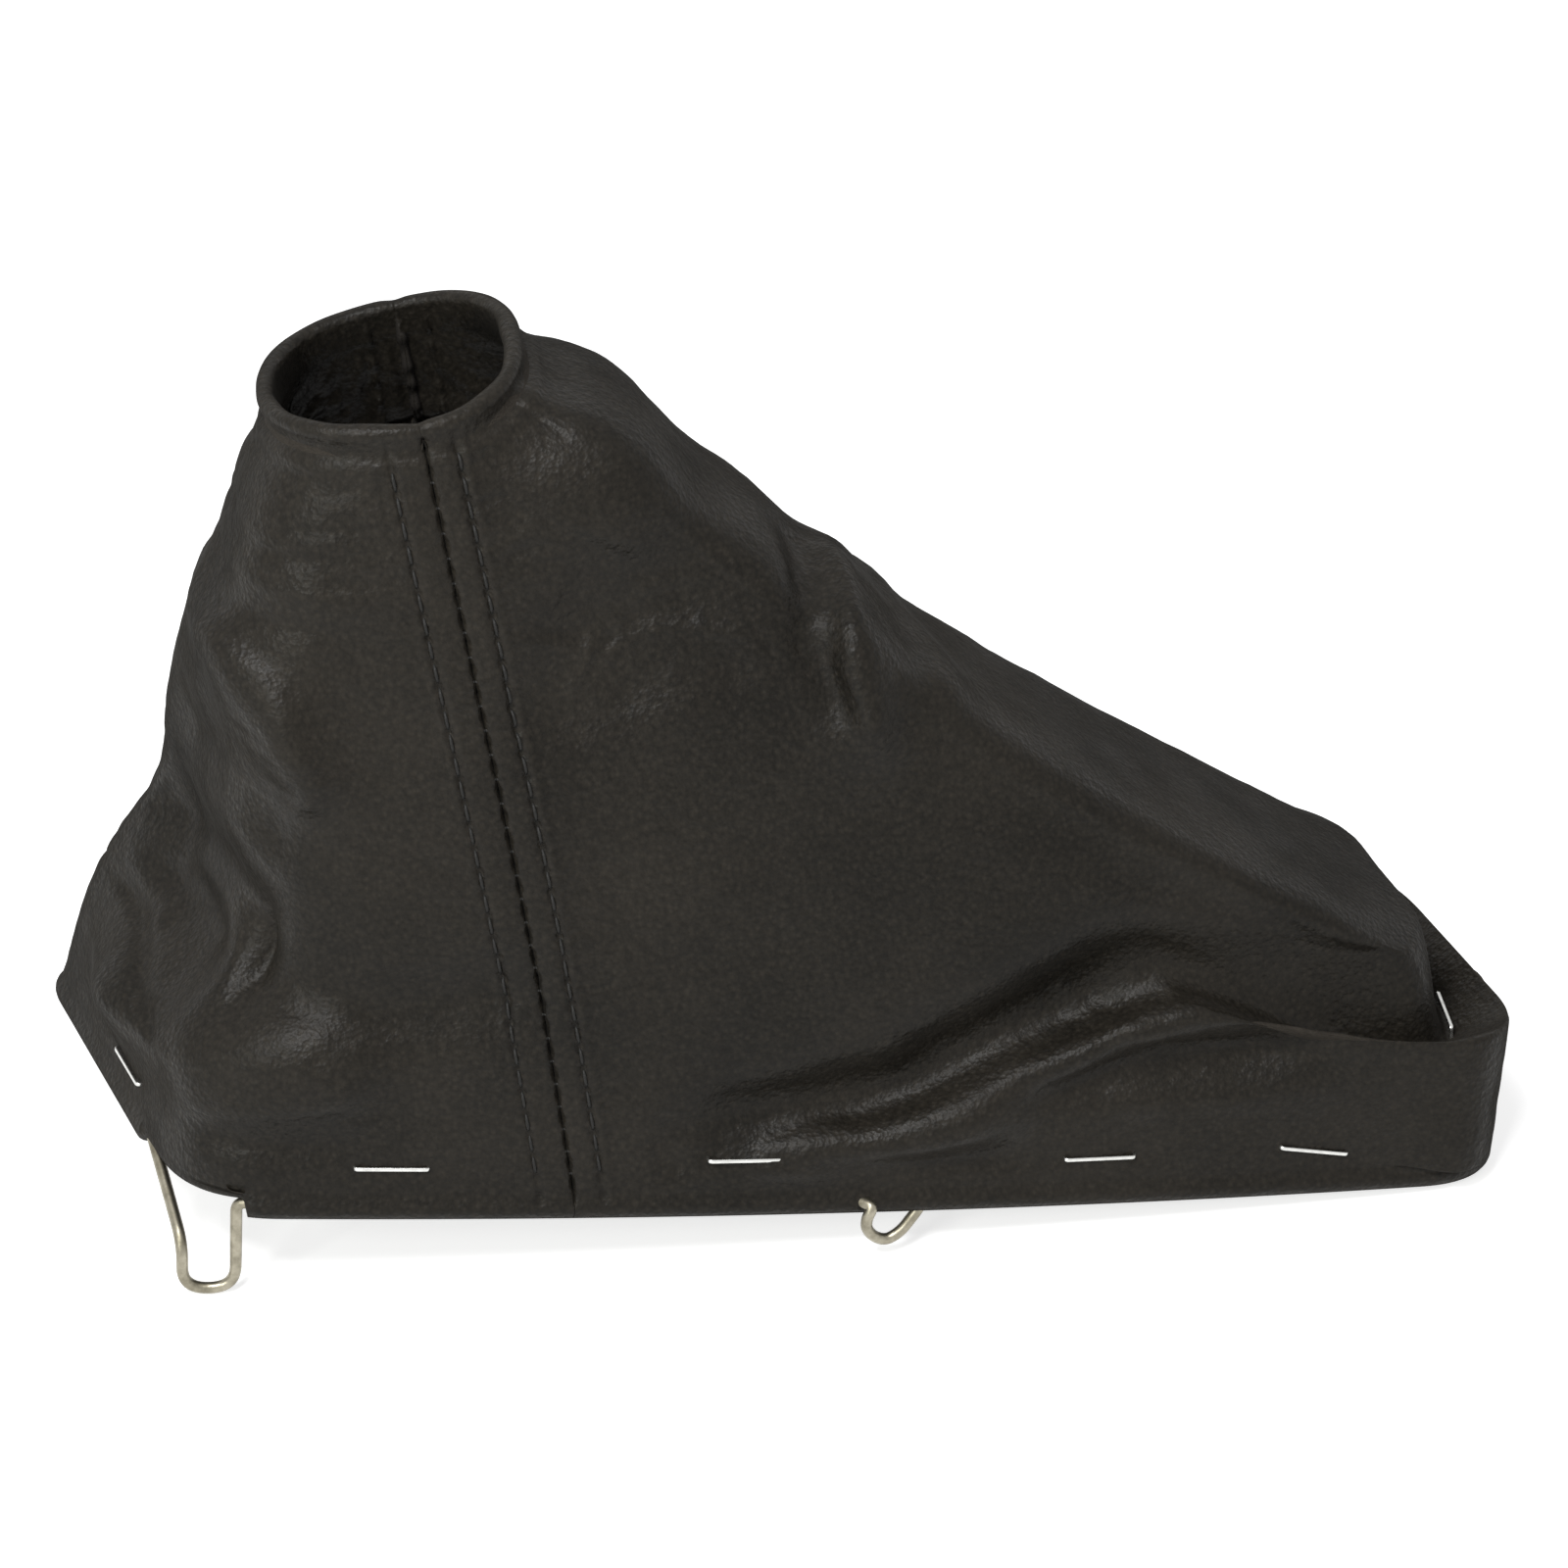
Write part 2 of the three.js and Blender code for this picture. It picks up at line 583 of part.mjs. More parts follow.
const nearClipArcs = [nearArcAt(longClipX) - longClipMouth.near, nearArcAt(longClipX)];
const farClipArcs = [farArcAt(longClipX), farArcAt(longClipX) + longClipMouth.far];
const shortClipArcs = { near: nearArcAt(shortClipX), far: farArcAt(shortClipX) };

function nearLongClip() {
  const [start, end] = nearClipArcs;
  const clip = longClip(onHem(end));
  return rounded([
    [onHem(start - clipLead), 0], [onHem(start), wireBend], ...clip, [onHem(end + clipLead), 0]]);
}

function farLongClip() {
  const [start, end] = farClipArcs;
  const clip = longClip(onHem(start)).reverse();
  return rounded([
    [onHem(start - clipLead), 0], ...clip, [onHem(end), wireBend], [onHem(end + clipLead), 0]]);
}

// Short clip: leaves through the face of the hem, hangs as a round loop and comes back from below.
function shortClip(arc, frontFirst) {
  const half = shortClipWidth / 2;
  const low = wireDiameter / 2 - shortClipDrop - beadOuter;
  const front = frontFirst ? -1 : 1;
  const reach = beadOuter + clearance + wireDiameter / 2;
  const corners = [
    [onHem(arc + front * shortClipRun), 0],
    [onHem(arc + front * (half + shortClipLean)), shortClipBend],
    [onHem(arc + front * half, reach, -shortClipLean), shortClipBend],
    [onHem(arc + front * half, 0.6 * reach, low), half],
    [onHem(arc - front * half, 0, low), half],
    [onHem(arc - front * half), wireBend],
    [onHem(arc - front * shortClipRun), 0],
  ];
  return rounded(frontFirst ? corners : corners.reverse());
}

const nearShortClip = shortClip(shortClipArcs.near, true);
const farShortClip = shortClip(shortClipArcs.far, false);

function wireChain() {
  const rearMiddle = rearArcAt(0);
  const seamStep = 0.5;
  const { near, far } = shortClipArcs;
  return [
    ...hemStretch(rearMiddle + wireEndGap / 2, far - shortClipRun), ...farShortClip.slice(1, -1),
    ...hemStretch(far + shortClipRun, farClipArcs[0] - clipLead), ...farLongClip().slice(1, -1),
    ...hemStretch(farClipArcs[1] + clipLead, nearClipArcs[0] - clipLead), ...nearLongClip().slice(1, -1),
    ...hemStretch(nearClipArcs[1] + clipLead, hem.total - seamStep),
    ...hemStretch(seamStep, near - shortClipRun), ...nearShortClip.slice(1, -1),
    ...hemStretch(near + shortClipRun, rearMiddle - wireEndGap / 2),
  ];
}

// Leather cut away round a long clip, so that the wire can leave the hem.
function cornerCut([start, end]) {
  const steps = 8;
  const room = wireBend + wireDiameter / 2;
  const arcs = Array.from({ length: steps + 1 },
    (_, i) => THREE.MathUtils.lerp(start - room, end + room, i / steps));
  const edge = (offset) => arcs.map((arc) => {
    const { point, out } = hemAt(arc);
    return new THREE.Vector2(point.x + out.x * offset, point.y + out.y * offset);
  });
  const outline = [...edge(2 * beadOuter), ...edge(-2 * beadOuter).reverse()];
  const depth = 2 * footHeight;
  const cut = new THREE.ExtrudeGeometry(new THREE.Shape(outline), { depth, bevelEnabled: false });
  return toSolid(cut.translate(0, 0, cutHeight - depth));
}

// Staple over a place of the hem, at a distance up the wall and with its crown along the hem. The leather
// under the crown is cut out of the panel, so that it is seated on its highest place and clinched under its
// lowest.
function stapleFrame(arc, up0) {
  const panel = arc > farSeamArc ? frontSheet : rearSheet;
  const placeAt = (a) => wall(a, up0 / wallLength(a));
  const place = placeAt(arc);
  const normal = normalOf(wall, arc, up0 / wallLength(arc));
  const side = placeAt(arc + stapleCrown / 4).sub(placeAt(arc - stapleCrown / 4));
  side.addScaledVector(normal, -side.dot(normal)).normalize();
  const span = stapleCrown + 2 * stapleClearance;
  const under = new THREE.BoxGeometry(span, 4 * layers, stapleWidth + 2 * stapleClearance);
  const turn = new THREE.Matrix4().makeBasis(side, normal, side.clone().cross(normal)).setPosition(place);
  const held = toGeometry(panel.intersect(toSolid(under.applyMatrix4(turn)))).applyMatrix4(turn.invert());
  held.computeBoundingBox();
  const { min: trough, max: crest } = held.boundingBox;
  const seat = place.addScaledVector(normal, crest.y + stapleClearance);
  return { arc, seat, side, normal, depth: crest.y - trough.y + 2 * stapleClearance };
}

function stapleMesh(name, { seat, side, normal, depth }) {
  const half = stapleCrown / 2;
  const tip = half - stapleClinch;
  const t = stapleThickness;
  const profile = [[half, t], [half, -depth - t], [tip, -depth - t], [tip, -depth], [half - t, -depth],
    [half - t, 0]];
  const leg = (sign) => profile.map(([x, y]) => new THREE.Vector2(sign * x, y));
  const shape = new THREE.Shape([...leg(-1), ...leg(1).reverse()]);
  const geometry = new THREE.ExtrudeGeometry(shape, { depth: stapleWidth, bevelEnabled: false });
  geometry.translate(0, 0, -stapleWidth / 2);
  const mesh = new THREE.Mesh(geometry, stapleMaterial());
  const across = side.clone().cross(normal);
  mesh.name = name;
  mesh.quaternion.setFromRotationMatrix(new THREE.Matrix4().makeBasis(side, normal, across));
  mesh.position.copy(seat);
  return mesh;
}

// Holes of a staple's two legs.
function stapleHoles({ seat, side, normal, depth }) {
  const turn = new THREE.Matrix4().makeBasis(side, normal, side.clone().cross(normal)).setPosition(seat);
  return [-1, 1].map((sign) => {
    const hole = new THREE.BoxGeometry(stapleThickness + 2 * stapleClearance, depth + 4,
      stapleWidth + 2 * stapleClearance);
    hole.translate((sign * (stapleCrown - stapleThickness)) / 2, -depth / 2, 0);
    return toSolid(hole.applyMatrix4(turn));
  });
}

// Staples in the hem, through the wall and the flap behind it, and two in the valley behind the rear lip.
const frontSheet = sheetSolid(frontArcs);
const rearSheet = sheetSolid(rearArcs);
const staples = {
  staple_front: stapleFrame(frontArcAt(frontStapleY), frontStapleHeight - footHeight),
  staple_rear_near: stapleFrame(rearArcAt(-rearStapleY), valleyUp),
  staple_rear_far: stapleFrame(rearArcAt(rearStapleY), valleyUp),
};
sideStapleXs.forEach((x, i) => {
  const up0 = sideStapleHeights[i] - footHeight;
  staples[`staple_near_${i + 1}`] = stapleFrame(nearArcAt(x), up0);
  staples[`staple_far_${i + 1}`] = stapleFrame(farArcAt(x), up0);
});

// Panel with the holes of the staples between its seams.
function panelMesh(name, solid, [start, end]) {
  const through = Object.values(staples).filter(({ arc }) => arc > start && arc < end);
  const mesh = new THREE.Mesh(toGeometry(cutFrom(solid, through.flatMap(stapleHoles))), leatherMaterial());
  mesh.name = name;
  return mesh;
}

const slits = [nearShortClip, farShortClip]
  .map((chain) => toSolid(roundBar(chain, wireDiameter / 2 + clearance, wireSides)));
const cutFrom = (solid, cuts) => cuts.reduce((left, cut) => left.subtract(cut), solid);
const frontSolid = cutFrom(frontSheet, [nearClipArcs, farClipArcs].map(cornerCut));
const rearSolid = cutFrom(rearSheet, slits);

const wire = new THREE.Mesh(roundBar(wireChain(), wireDiameter / 2, wireSides), wireMaterial());
wire.name = 'wire_frame';

// The boot stands on its long clips and the rear of its hem, so the level hem is turned by the rest angle.
const hemLevel = new THREE.Group();
hemLevel.add(panelMesh('front_panel', frontSolid, panelSpans.front));
hemLevel.add(panelMesh('rear_panel', rearSolid, panelSpans.rear));
hemLevel.add(wire);
Object.entries(staples).forEach(([name, frame]) => hemLevel.add(stapleMesh(name, frame)));
const restSpan = baseLength / 2 - (longClipX - longClipWidth / 2);
hemLevel.rotation.y = Math.atan2(longClipDrop, restSpan);

const boot = new THREE.Group();
boot.add(hemLevel);
boot.updateMatrixWorld(true);
const box = new THREE.Box3().setFromObject(boot, true);
const middle = box.getCenter(new THREE.Vector3());
hemLevel.position.set(-middle.x, -middle.y, -box.min.z);

export default boot;
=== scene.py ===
"""Looks of the leather handbrake boot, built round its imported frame.

The leather is worked out in millimetres with the hem level, by the same formulas as the solids, and is then
turned into the frame, in which the boot stands on its long clips and the rear of its hem.
"""

import math

import bpy
import numpy as np
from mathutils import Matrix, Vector


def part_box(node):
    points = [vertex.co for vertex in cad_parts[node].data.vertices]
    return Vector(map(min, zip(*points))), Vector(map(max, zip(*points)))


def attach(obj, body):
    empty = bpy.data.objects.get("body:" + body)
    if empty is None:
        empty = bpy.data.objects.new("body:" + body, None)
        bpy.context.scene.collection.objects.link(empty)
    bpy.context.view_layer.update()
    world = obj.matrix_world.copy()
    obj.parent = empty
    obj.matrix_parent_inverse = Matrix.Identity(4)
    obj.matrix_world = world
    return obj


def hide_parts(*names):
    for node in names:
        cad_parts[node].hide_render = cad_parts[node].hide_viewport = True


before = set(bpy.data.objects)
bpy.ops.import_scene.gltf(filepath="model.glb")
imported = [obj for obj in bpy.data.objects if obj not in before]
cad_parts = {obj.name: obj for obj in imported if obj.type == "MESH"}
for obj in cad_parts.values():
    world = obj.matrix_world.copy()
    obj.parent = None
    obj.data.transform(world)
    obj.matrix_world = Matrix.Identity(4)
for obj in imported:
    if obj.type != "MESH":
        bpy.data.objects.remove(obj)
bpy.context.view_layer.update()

MM = 0.001

# Hem outline, seen from above
BASE_LENGTH = 231
BASE_WIDTH = 72
SIDE_BOW = 4
FRONT_SKEW = 11
REAR_SKEW = 5
CORNER_CUTS = {"rear_near": 15, "rear_far": 26, "front_far": 8, "front_near": 14}
SEAM_X = -42
OUTLINE_SAMPLES = 1440
ANGLE_SMOOTHING = 5

# Collar for the lever
COLLAR_X = -74
COLLAR_HEIGHT = 138
COLLAR_WIDTH = 45
COLLAR_LENGTH = 42
COLLAR_TILT = math.radians(16)
COLLAR_SQUARENESS = 2.4
FACING_DEPTH = 16
RIM_HEIGHT = 4
RIM_BULGE = 0.4
RIM_SAG = 3.0
SAG_ANGLE = math.radians(-68)
SAG_SPREAD = 0.6
RIM_LIFT = 1.0
LIFT_ANGLE = math.radians(-145)
LIFT_SPREAD = 0.4

# Leather
LEATHER = 1.0
CLEARANCE = 0.3
SEAM_GAP = -0.16
ALLOWANCE = 6
FLAP_HEIGHT = 12
FOOT_RISE = 30
NOSE_RISE = 112
NECK_PULL = 20
SEAM_TURN = math.radians(8)
SEAM_SPREAD = math.radians(22)
SEAM_SPREAD_ARC = 10
CORNER_SHARE = 0.5
FOLDS_START = 3
FOLDS_FULL = 16
FOLDS_TOP = 12

# Rear end: upright lip, valley behind it and nose of the slope
LIP_HEIGHT = 25
VALLEY_RUN = 9
VALLEY_INSET = 6
VALLEY_HEIGHT = 18
NOSE_RUN = 22
NOSE_INSET = 12
NOSE_HEIGHT = 37
REAR_CORNER_INSET = 3.8
REAR_CORNER_REACH = (0.3, 0.9)
LIP_FALL = 4
NOSE_LEAN = 0.4
NOSE_REACH = (0.8, 1.8)
LIP_START = 34
LIP_FULL = 8

# Wire frame
WIRE_DIAMETER = 2
WIRE_SIDES = 16
SHORTEST_STEP = 0.02
LONG_CLIP_DROP = 16
LONG_CLIP_WIDTH = 8.8
SHORT_CLIP_X = 10.5
SHORT_CLIP_RUN = 10.3
WIRE_END_GAP = 1.2
WIRE_BEND = 2.5
CLIP_LEAD = 4
LONG_CLIP_X = -97.5
LONG_CLIP_SHOULDER = 6
LONG_CLIP_MOUTH = {"near": 26, "far": 14}

# Staples
STAPLE_CROWN = 12.7
STAPLE_WIDTH = 0.7
STAPLE_THICKNESS = 0.5
SIDE_STAPLE_HEIGHTS = (9, 10, 8.2, 8.2)
SIDE_STAPLE_XS = (-72, -12, 49, 87)
FRONT_STAPLE_HEIGHT = 8
FRONT_STAPLE_Y = -4
REAR_STAPLE_Y = 18.5
STAPLE_CLINCH = 4
STAPLE_SUNK = 0.45

BEAD_INNER = WIRE_DIAMETER / 2 + CLEARANCE
BEAD_OUTER = BEAD_INNER + LEATHER
FOOT_OFFSET = LEATHER + CLEARANCE / 2
FOOT_HEIGHT = 2 * BEAD_OUTER
LAYERS = 2 * LEATHER + CLEARANCE
VALLEY_UP = LIP_HEIGHT + VALLEY_RUN
NOSE_UP = VALLEY_UP + NOSE_RUN
UP = np.array([0.0, 0.0, 1.0])


def smoothstep(x, low, high):
    t = np.clip((x - low) / (high - low), 0, 1)
    return t * t * (3 - 2 * t)


def smootherstep(x, low, high):
    t = np.clip((x - low) / (high - low), 0, 1)
    return t ** 3 * (t * (6 * t - 15) + 10)


def unit(v):
    return v / np.maximum(np.linalg.norm(v, axis=-1, keepdims=True), 1e-9)


def norm(v):
    return np.linalg.norm(v, axis=-1)


def bell(x, width):
    return np.exp(-(x / width) ** 2)


def lengths_along(points):
    steps = norm(np.diff(points, axis=0))
    return np.concatenate([np.zeros_like(steps[:1]), np.cumsum(steps, axis=0)])


def hem_outline():
    """Closed outline, anticlockwise from the foot of the near seam, in evenly spaced points."""
    half_length = BASE_LENGTH / 2
    half_width = BASE_WIDTH / 2
    corners = [
        ((half_length + REAR_SKEW, -half_width), CORNER_CUTS["rear_near"]),
        ((half_length - REAR_SKEW, half_width), CORNER_CUTS["rear_far"]),
        ((-half_length - FRONT_SKEW, half_width), CORNER_CUTS["front_far"]),
        ((-half_length + FRONT_SKEW, -half_width), CORNER_CUTS["front_near"]),
    ]
    start = np.array([[SEAM_X, -half_width]])
    t = np.linspace(0, 1, 60)[:, None]
    path = [start]
    for i, (corner, cut) in enumerate(corners):
        at = np.array(corner)
        before = at + cut * unit(np.array(corners[i - 1][0]) - at)
        after = at + cut * unit(np.array(corners[(i + 1) % 4][0]) - at)
        path.append((1 - t) ** 2 * before + 2 * t * (1 - t) * at + t * t * after)
    path = np.concatenate([*path, start])
    runs = lengths_along(path)
    even = np.linspace(0, runs[-1], OUTLINE_SAMPLES + 1)
    x, y = (np.interp(even, runs, path[:, k]) for k in (0, 1))
    bow = np.maximum(0, 1 - (2 * x / BASE_LENGTH) ** 2) * 2 * SIDE_BOW / BASE_WIDTH
    return np.stack([x, y * (1 + bow)], axis=1)


HEM = hem_outline()
HEM_ARCS = lengths_along(HEM)
HEM_TOTAL = HEM_ARCS[-1]
hem_runs = np.roll(HEM[:-1], -1, axis=0) - np.roll(HEM[:-1], 1, axis=0)
hem_runs = unit(np.concatenate([hem_runs, hem_runs[:1]]))
OUT_ANGLES = np.unwrap(np.arctan2(-hem_runs[:, 0], hem_runs[:, 1]))
OUT_ANGLES += -math.pi / 2 - OUT_ANGLES[0]


def far_arc_at(x):
    far = (HEM[:-1, 1] > 0) & (HEM[:-1, 0] >= x) & (HEM[1:, 0] < x)
    i = int(np.argmax(far))
    return HEM_ARCS[i] + HEM[i, 0] - x


def arc_after(chosen):
    """Arc length at the end of the first stretch of the hem that is chosen."""
    return HEM_ARCS[int(np.argmax(chosen)) + 1]


def near_arc_at(x):
    return arc_after((HEM[1:, 1] < 0) & (HEM[:-1, 0] < x) & (HEM[1:, 0] >= x))


def rear_arc_at(y):
    return arc_after((HEM[1:, 0] > SEAM_X) & (HEM[:-1, 1] < y) & (HEM[1:, 1] >= y))


def front_arc_at(y):
    return arc_after((HEM[1:, 0] < SEAM_X) & (HEM[:-1, 1] > y) & (HEM[1:, 1] <= y))


FAR_SEAM = far_arc_at(SEAM_X)
SPANS = {"rear": (0.0, FAR_SEAM), "front": (FAR_SEAM, HEM_TOTAL)}


def hem_at(arc):
    """Point of the hem and the direction out of it, at arc lengths round it."""
    a = np.mod(arc, HEM_TOTAL)
    point = np.stack([np.interp(a, HEM_ARCS, HEM[:, k]) for k in (0, 1)], axis=-1)
    angle = np.interp(a, HEM_ARCS, OUT_ANGLES)
    return point, np.stack([np.cos(angle), np.sin(angle)], axis=-1)


def drawn_up(a):
    """Angle round the collar that the hem is drawn up to, at arc lengths from 0 to the whole hem."""
    in_rear = a <= FAR_SEAM
    start = np.where(in_rear, 0.0, FAR_SEAM)
    span = np.where(in_rear, FAR_SEAM, HEM_TOTAL - FAR_SEAM)
    base = np.where(in_rear, -math.pi / 2, math.pi / 2)
    into = a - start
    turned = np.clip(np.interp(a, HEM_ARCS, OUT_ANGLES) - base, 0, math.pi)
    mixed = CORNER_SHARE * turned + (1 - CORNER_SHARE) * math.pi * into / span
    before = SEAM_SPREAD * (1 - np.exp(-into / SEAM_SPREAD_ARC))
    after = SEAM_SPREAD * (1 - np.exp(-(span - into) / SEAM_SPREAD_ARC))
    wrapped = base + before + (1 - 2 * SEAM_SPREAD / math.pi) * mixed + SEAM_SPREAD - after
    return wrapped + SEAM_TURN * np.sin(-wrapped) ** 3


def rising_angles():
    """The same angles as a table that only rises, with the kink at the far front corner smoothed."""
    angles = np.maximum.accumulate(drawn_up(np.minimum(HEM_ARCS, HEM_TOTAL - 1e-6)))
    turns = np.concatenate([angles[:-1] - 2 * math.pi, angles[:-1], angles + 2 * math.pi])
    window = 2 * ANGLE_SMOOTHING + 1
    smooth = np.convolve(turns, np.ones(window) / window, mode="same")
    return smooth[OUTLINE_SAMPLES:2 * OUTLINE_SAMPLES + 1]


COLLAR_ANGLES = rising_angles()


def collar_angle(arc):
    """Angle round the collar: near -90, rear 0, far 90, front 180 degrees."""
    return np.interp(np.mod(arc, HEM_TOTAL), HEM_ARCS, COLLAR_ANGLES)


COLLAR_AXIS = np.array([-math.sin(COLLAR_TILT), 0, math.cos(COLLAR_TILT)])
COLLAR_ACROSS = np.array([math.cos(COLLAR_TILT), 0, math.sin(COLLAR_TILT)])
COLLAR_CENTRE = np.array([COLLAR_X, 0, COLLAR_HEIGHT])


def collar_sag(angle):
    """How far the soft rim hangs below its plane: a sag at the near seam and a slight rise in front of it."""
    sag = RIM_SAG * np.exp((np.cos(angle - SAG_ANGLE) - 1) / SAG_SPREAD ** 2)
    return sag - RIM_LIFT * np.exp((np.cos(angle - LIFT_ANGLE) - 1) / LIFT_SPREAD ** 2)


def collar_place(angle, offset, down):
    """Point off the collar's slightly squared ring, at a distance down its axis."""
    along = np.cos(angle)
    side = np.sin(angle)
    power = COLLAR_SQUARENESS
    swell = (np.abs(along) ** power + np.abs(side) ** power) ** (-1 / power)
    reach = along * (swell * COLLAR_LENGTH / 2 + offset)
    across = side * (swell * COLLAR_WIDTH / 2 + offset)
    return (COLLAR_CENTRE - COLLAR_AXIS * (down + collar_sag(angle))[..., None]
            + COLLAR_ACROSS * reach[..., None] + np.array([0, 1, 0]) * across[..., None])


def taut(arc, w):
    """Taut surface between the crease over the hem (w = 0) and the groove under the rim (w = 1)."""
    arc, w = np.broadcast_arrays(arc, w)
    point, out = hem_at(arc)
    foot = np.concatenate([point + out * FOOT_OFFSET, np.full(arc.shape + (1,), FOOT_HEIGHT)], axis=-1)
    top = collar_place(collar_angle(arc), 0, RIM_HEIGHT)
    rearward = smoothstep(point[..., 0], SEAM_X, BASE_LENGTH / 2)
    pull = NECK_PULL * (1 - rearward)
    rise = FOOT_RISE * w * (1 - w) ** 2 + NOSE_RISE * rearward * w * (1 - w) ** 4
    place = foot + (top - foot) * w[..., None] + UP * rise[..., None]
    return place - COLLAR_AXIS * (pull * w * w * (1 - w))[..., None]


def wall_length(arc):
    return norm(taut(arc, 0.0) - taut(arc, 1.0))


def taut_normal(arc, w):
    step = 0.4
    step_w = step / wall_length(arc)
    along = taut(arc + step, w) - taut(arc - step, w)
    rise = taut(arc, np.minimum(1, w + step_w)) - taut(arc, np.maximum(0, w - step_w))
    return unit(np.cross(along, rise))


def smooth_line(points, steps):
    """Smooth curve through points, with a number of steps between each two."""
    padded = np.concatenate([points[:1] * 2 - points[1:2], points, points[-1:] * 2 - points[-2:-1]])
    t = np.linspace(0, 1, steps, endpoint=False)[:, None]
    parts = []
    for a, b, c, d in zip(padded[:-3], padded[1:-2], padded[2:-1], padded[3:]):
        parts.append(0.5 * (2 * b + (c - a) * t + (2 * a - 5 * b + 4 * c - d) * t ** 2
                            + (3 * b - a - 3 * c + d) * t ** 3))
    return np.concatenate([*parts, points[-1:]])


def panel_arc(panel, share):
    """Arc at a share of a panel, counted from the near seam to the far one."""
    start, end = SPANS[panel]
    return start + (end - start) * (share if panel == "rear" else 1 - share)


# Folds of each panel: line of places, height off the leather and width. A place is how far it is from the
# near seam to the far one and how high it is, both in percent.
FRONT_FOLDS = [
    ([(30, 30), (50, 30), (80, 33)], -12, 15),
    ([(30, 85), (35, 65), (80, 67), (80, 85)], 3.5, 18),
    ([(45, 9), (80, 9)], 8, 12),
    ([(50, 74), (32, 72), (26, 65), (23, 57)], 3, 6),
    ([(50, 52), (34, 54), (26, 49)], -3, 7),
    ([(55, 27), (46, 31), (37, 30), (32, 25)], 3, 6),
    ([(33, 15), (27, 18), (20, 18)], 4, 10),
    ([(28, 26), (18, 23), (12, 24), (4, 26)], -2.5, 7),
    ([(78, 70), (86, 55), (90, 40)], 3, 8),
    ([(75, 20), (85, 24), (95, 22)], -2.5, 8),
]
REAR_FOLDS = [
    ([(38, 90), (62, 90)], 5, 15),
    ([(48, 77), (60, 77)], 3, 13),
    ([(6, 66), (16, 74), (28, 77)], -2.5, 9),
    ([(54, 68), (46, 68), (40, 65), (33, 57)], 3, 7),
    ([(8, 6.5), (16, 9), (23, 14), (30, 18.5), (40, 22.5)], -4, 8),
    ([(8, 3.5), (15, 5), (24, 10.5), (30, 14), (38, 16.5)], 3, 6),
    ([(23, 7), (28, 10), (33, 10), (39, 13)], -2.5, 5),
    ([(92, 12), (84, 16), (76, 24), (68, 27), (60, 26)], -4, 9),
    ([(90, 6), (80, 10), (70, 17), (62, 18)], 3, 7),
    ([(90, 55), (78, 60), (66, 72)], -2.5, 9),
]
FOLDS = {"front": FRONT_FOLDS, "rear": REAR_FOLDS}


def on_taut(panel, line):
    shares = np.array(line) / 100
    return taut(panel_arc(panel, shares[:, 0]), shares[:, 1])


def to_line(places, line):
    """Squared distance of places from a line of points."""
    nearest = np.full(places.shape[:-1], np.inf)
    for a, b in zip(line[:-1], line[1:]):
        run = b - a
        t = np.clip(((places - a) @ run) / (run @ run), 0, 1)
        nearest = np.minimum(nearest, np.sum((places - a - t[..., None] * run) ** 2, axis=-1))
    return nearest


def fold_height(places):
    total = np.zeros(places.shape[:-1])
    for panel, folds in FOLDS.items():
        for line, height, width in folds:
            total += height * np.exp(-to_line(places, on_taut(panel, line)) / width ** 2)
    return total


def lip_share(arc):
    point, _ = hem_at(arc)
    return smoothstep(point[..., 0], BASE_LENGTH / 2 - LIP_START, BASE_LENGTH / 2 - LIP_FULL)


def lip_profile(up0, y):
    """How far in and how high the rear end of the leather lies, by the distance up it and the hem's place."""
    across = 2 * np.abs(y) / BASE_WIDTH
    corner = REAR_CORNER_INSET * smoothstep(across, *REAR_CORNER_REACH)
    fall = LIP_FALL * (0.5 + y / BASE_WIDTH)
    still = np.zeros_like(corner)
    runs = np.array([0, LIP_HEIGHT, VALLEY_UP, NOSE_UP])
    insets = np.stack([still, still, VALLEY_INSET + corner, NOSE_INSET + corner])
    heights = np.stack([still, LIP_HEIGHT - fall, VALLEY_HEIGHT - fall / 2, still + NOSE_HEIGHT])
    upper = np.clip(np.searchsorted(runs, up0, side="right"), 1, 3)
    share = smootherstep(up0, runs[upper - 1], runs[upper])
    inset_share = np.where(upper == 3, np.sqrt(share), share)
    at = lambda stations, k: np.take_along_axis(stations, k[None], axis=0)[0]
    inset = at(insets, upper - 1) + (at(insets, upper) - at(insets, upper - 1)) * inset_share
    return inset, at(heights, upper - 1) + (at(heights, upper) - at(heights, upper - 1)) * share


def wall(arc, up0):
    """Grain side of the leather by the distance up it, with its lip and folds."""
    arc, up0 = np.broadcast_arrays(arc, up0)
    length = wall_length(arc)
    w = up0 / length
    place = taut(arc, w)
    fade = smoothstep(up0, FOLDS_START, FOLDS_FULL) * smoothstep(length - up0, 0, FOLDS_TOP)
    place = place + taut_normal(arc, w) * (fold_height(place) * fade)[..., None]
    foot = taut(arc, 0.0)
    point, out = hem_at(arc)
    level = np.array([1.0, 1.0, 0.0])
    outward = np.concatenate([out, np.zeros(arc.shape + (1,))], axis=-1)
    towards = unit((taut(arc, 1.0) - foot) * level)
    towards = unit(towards + (-outward - towards) * NOSE_LEAN)
    inset, height = lip_profile(up0, point[..., 1])
    held = foot + towards * inset[..., None] + UP * height[..., None]
    past = smoothstep(up0, NOSE_REACH[0] * NOSE_UP, NOSE_REACH[1] * NOSE_UP)
    return place + (held - place) * (lip_share(arc) * (1 - past))[..., None]


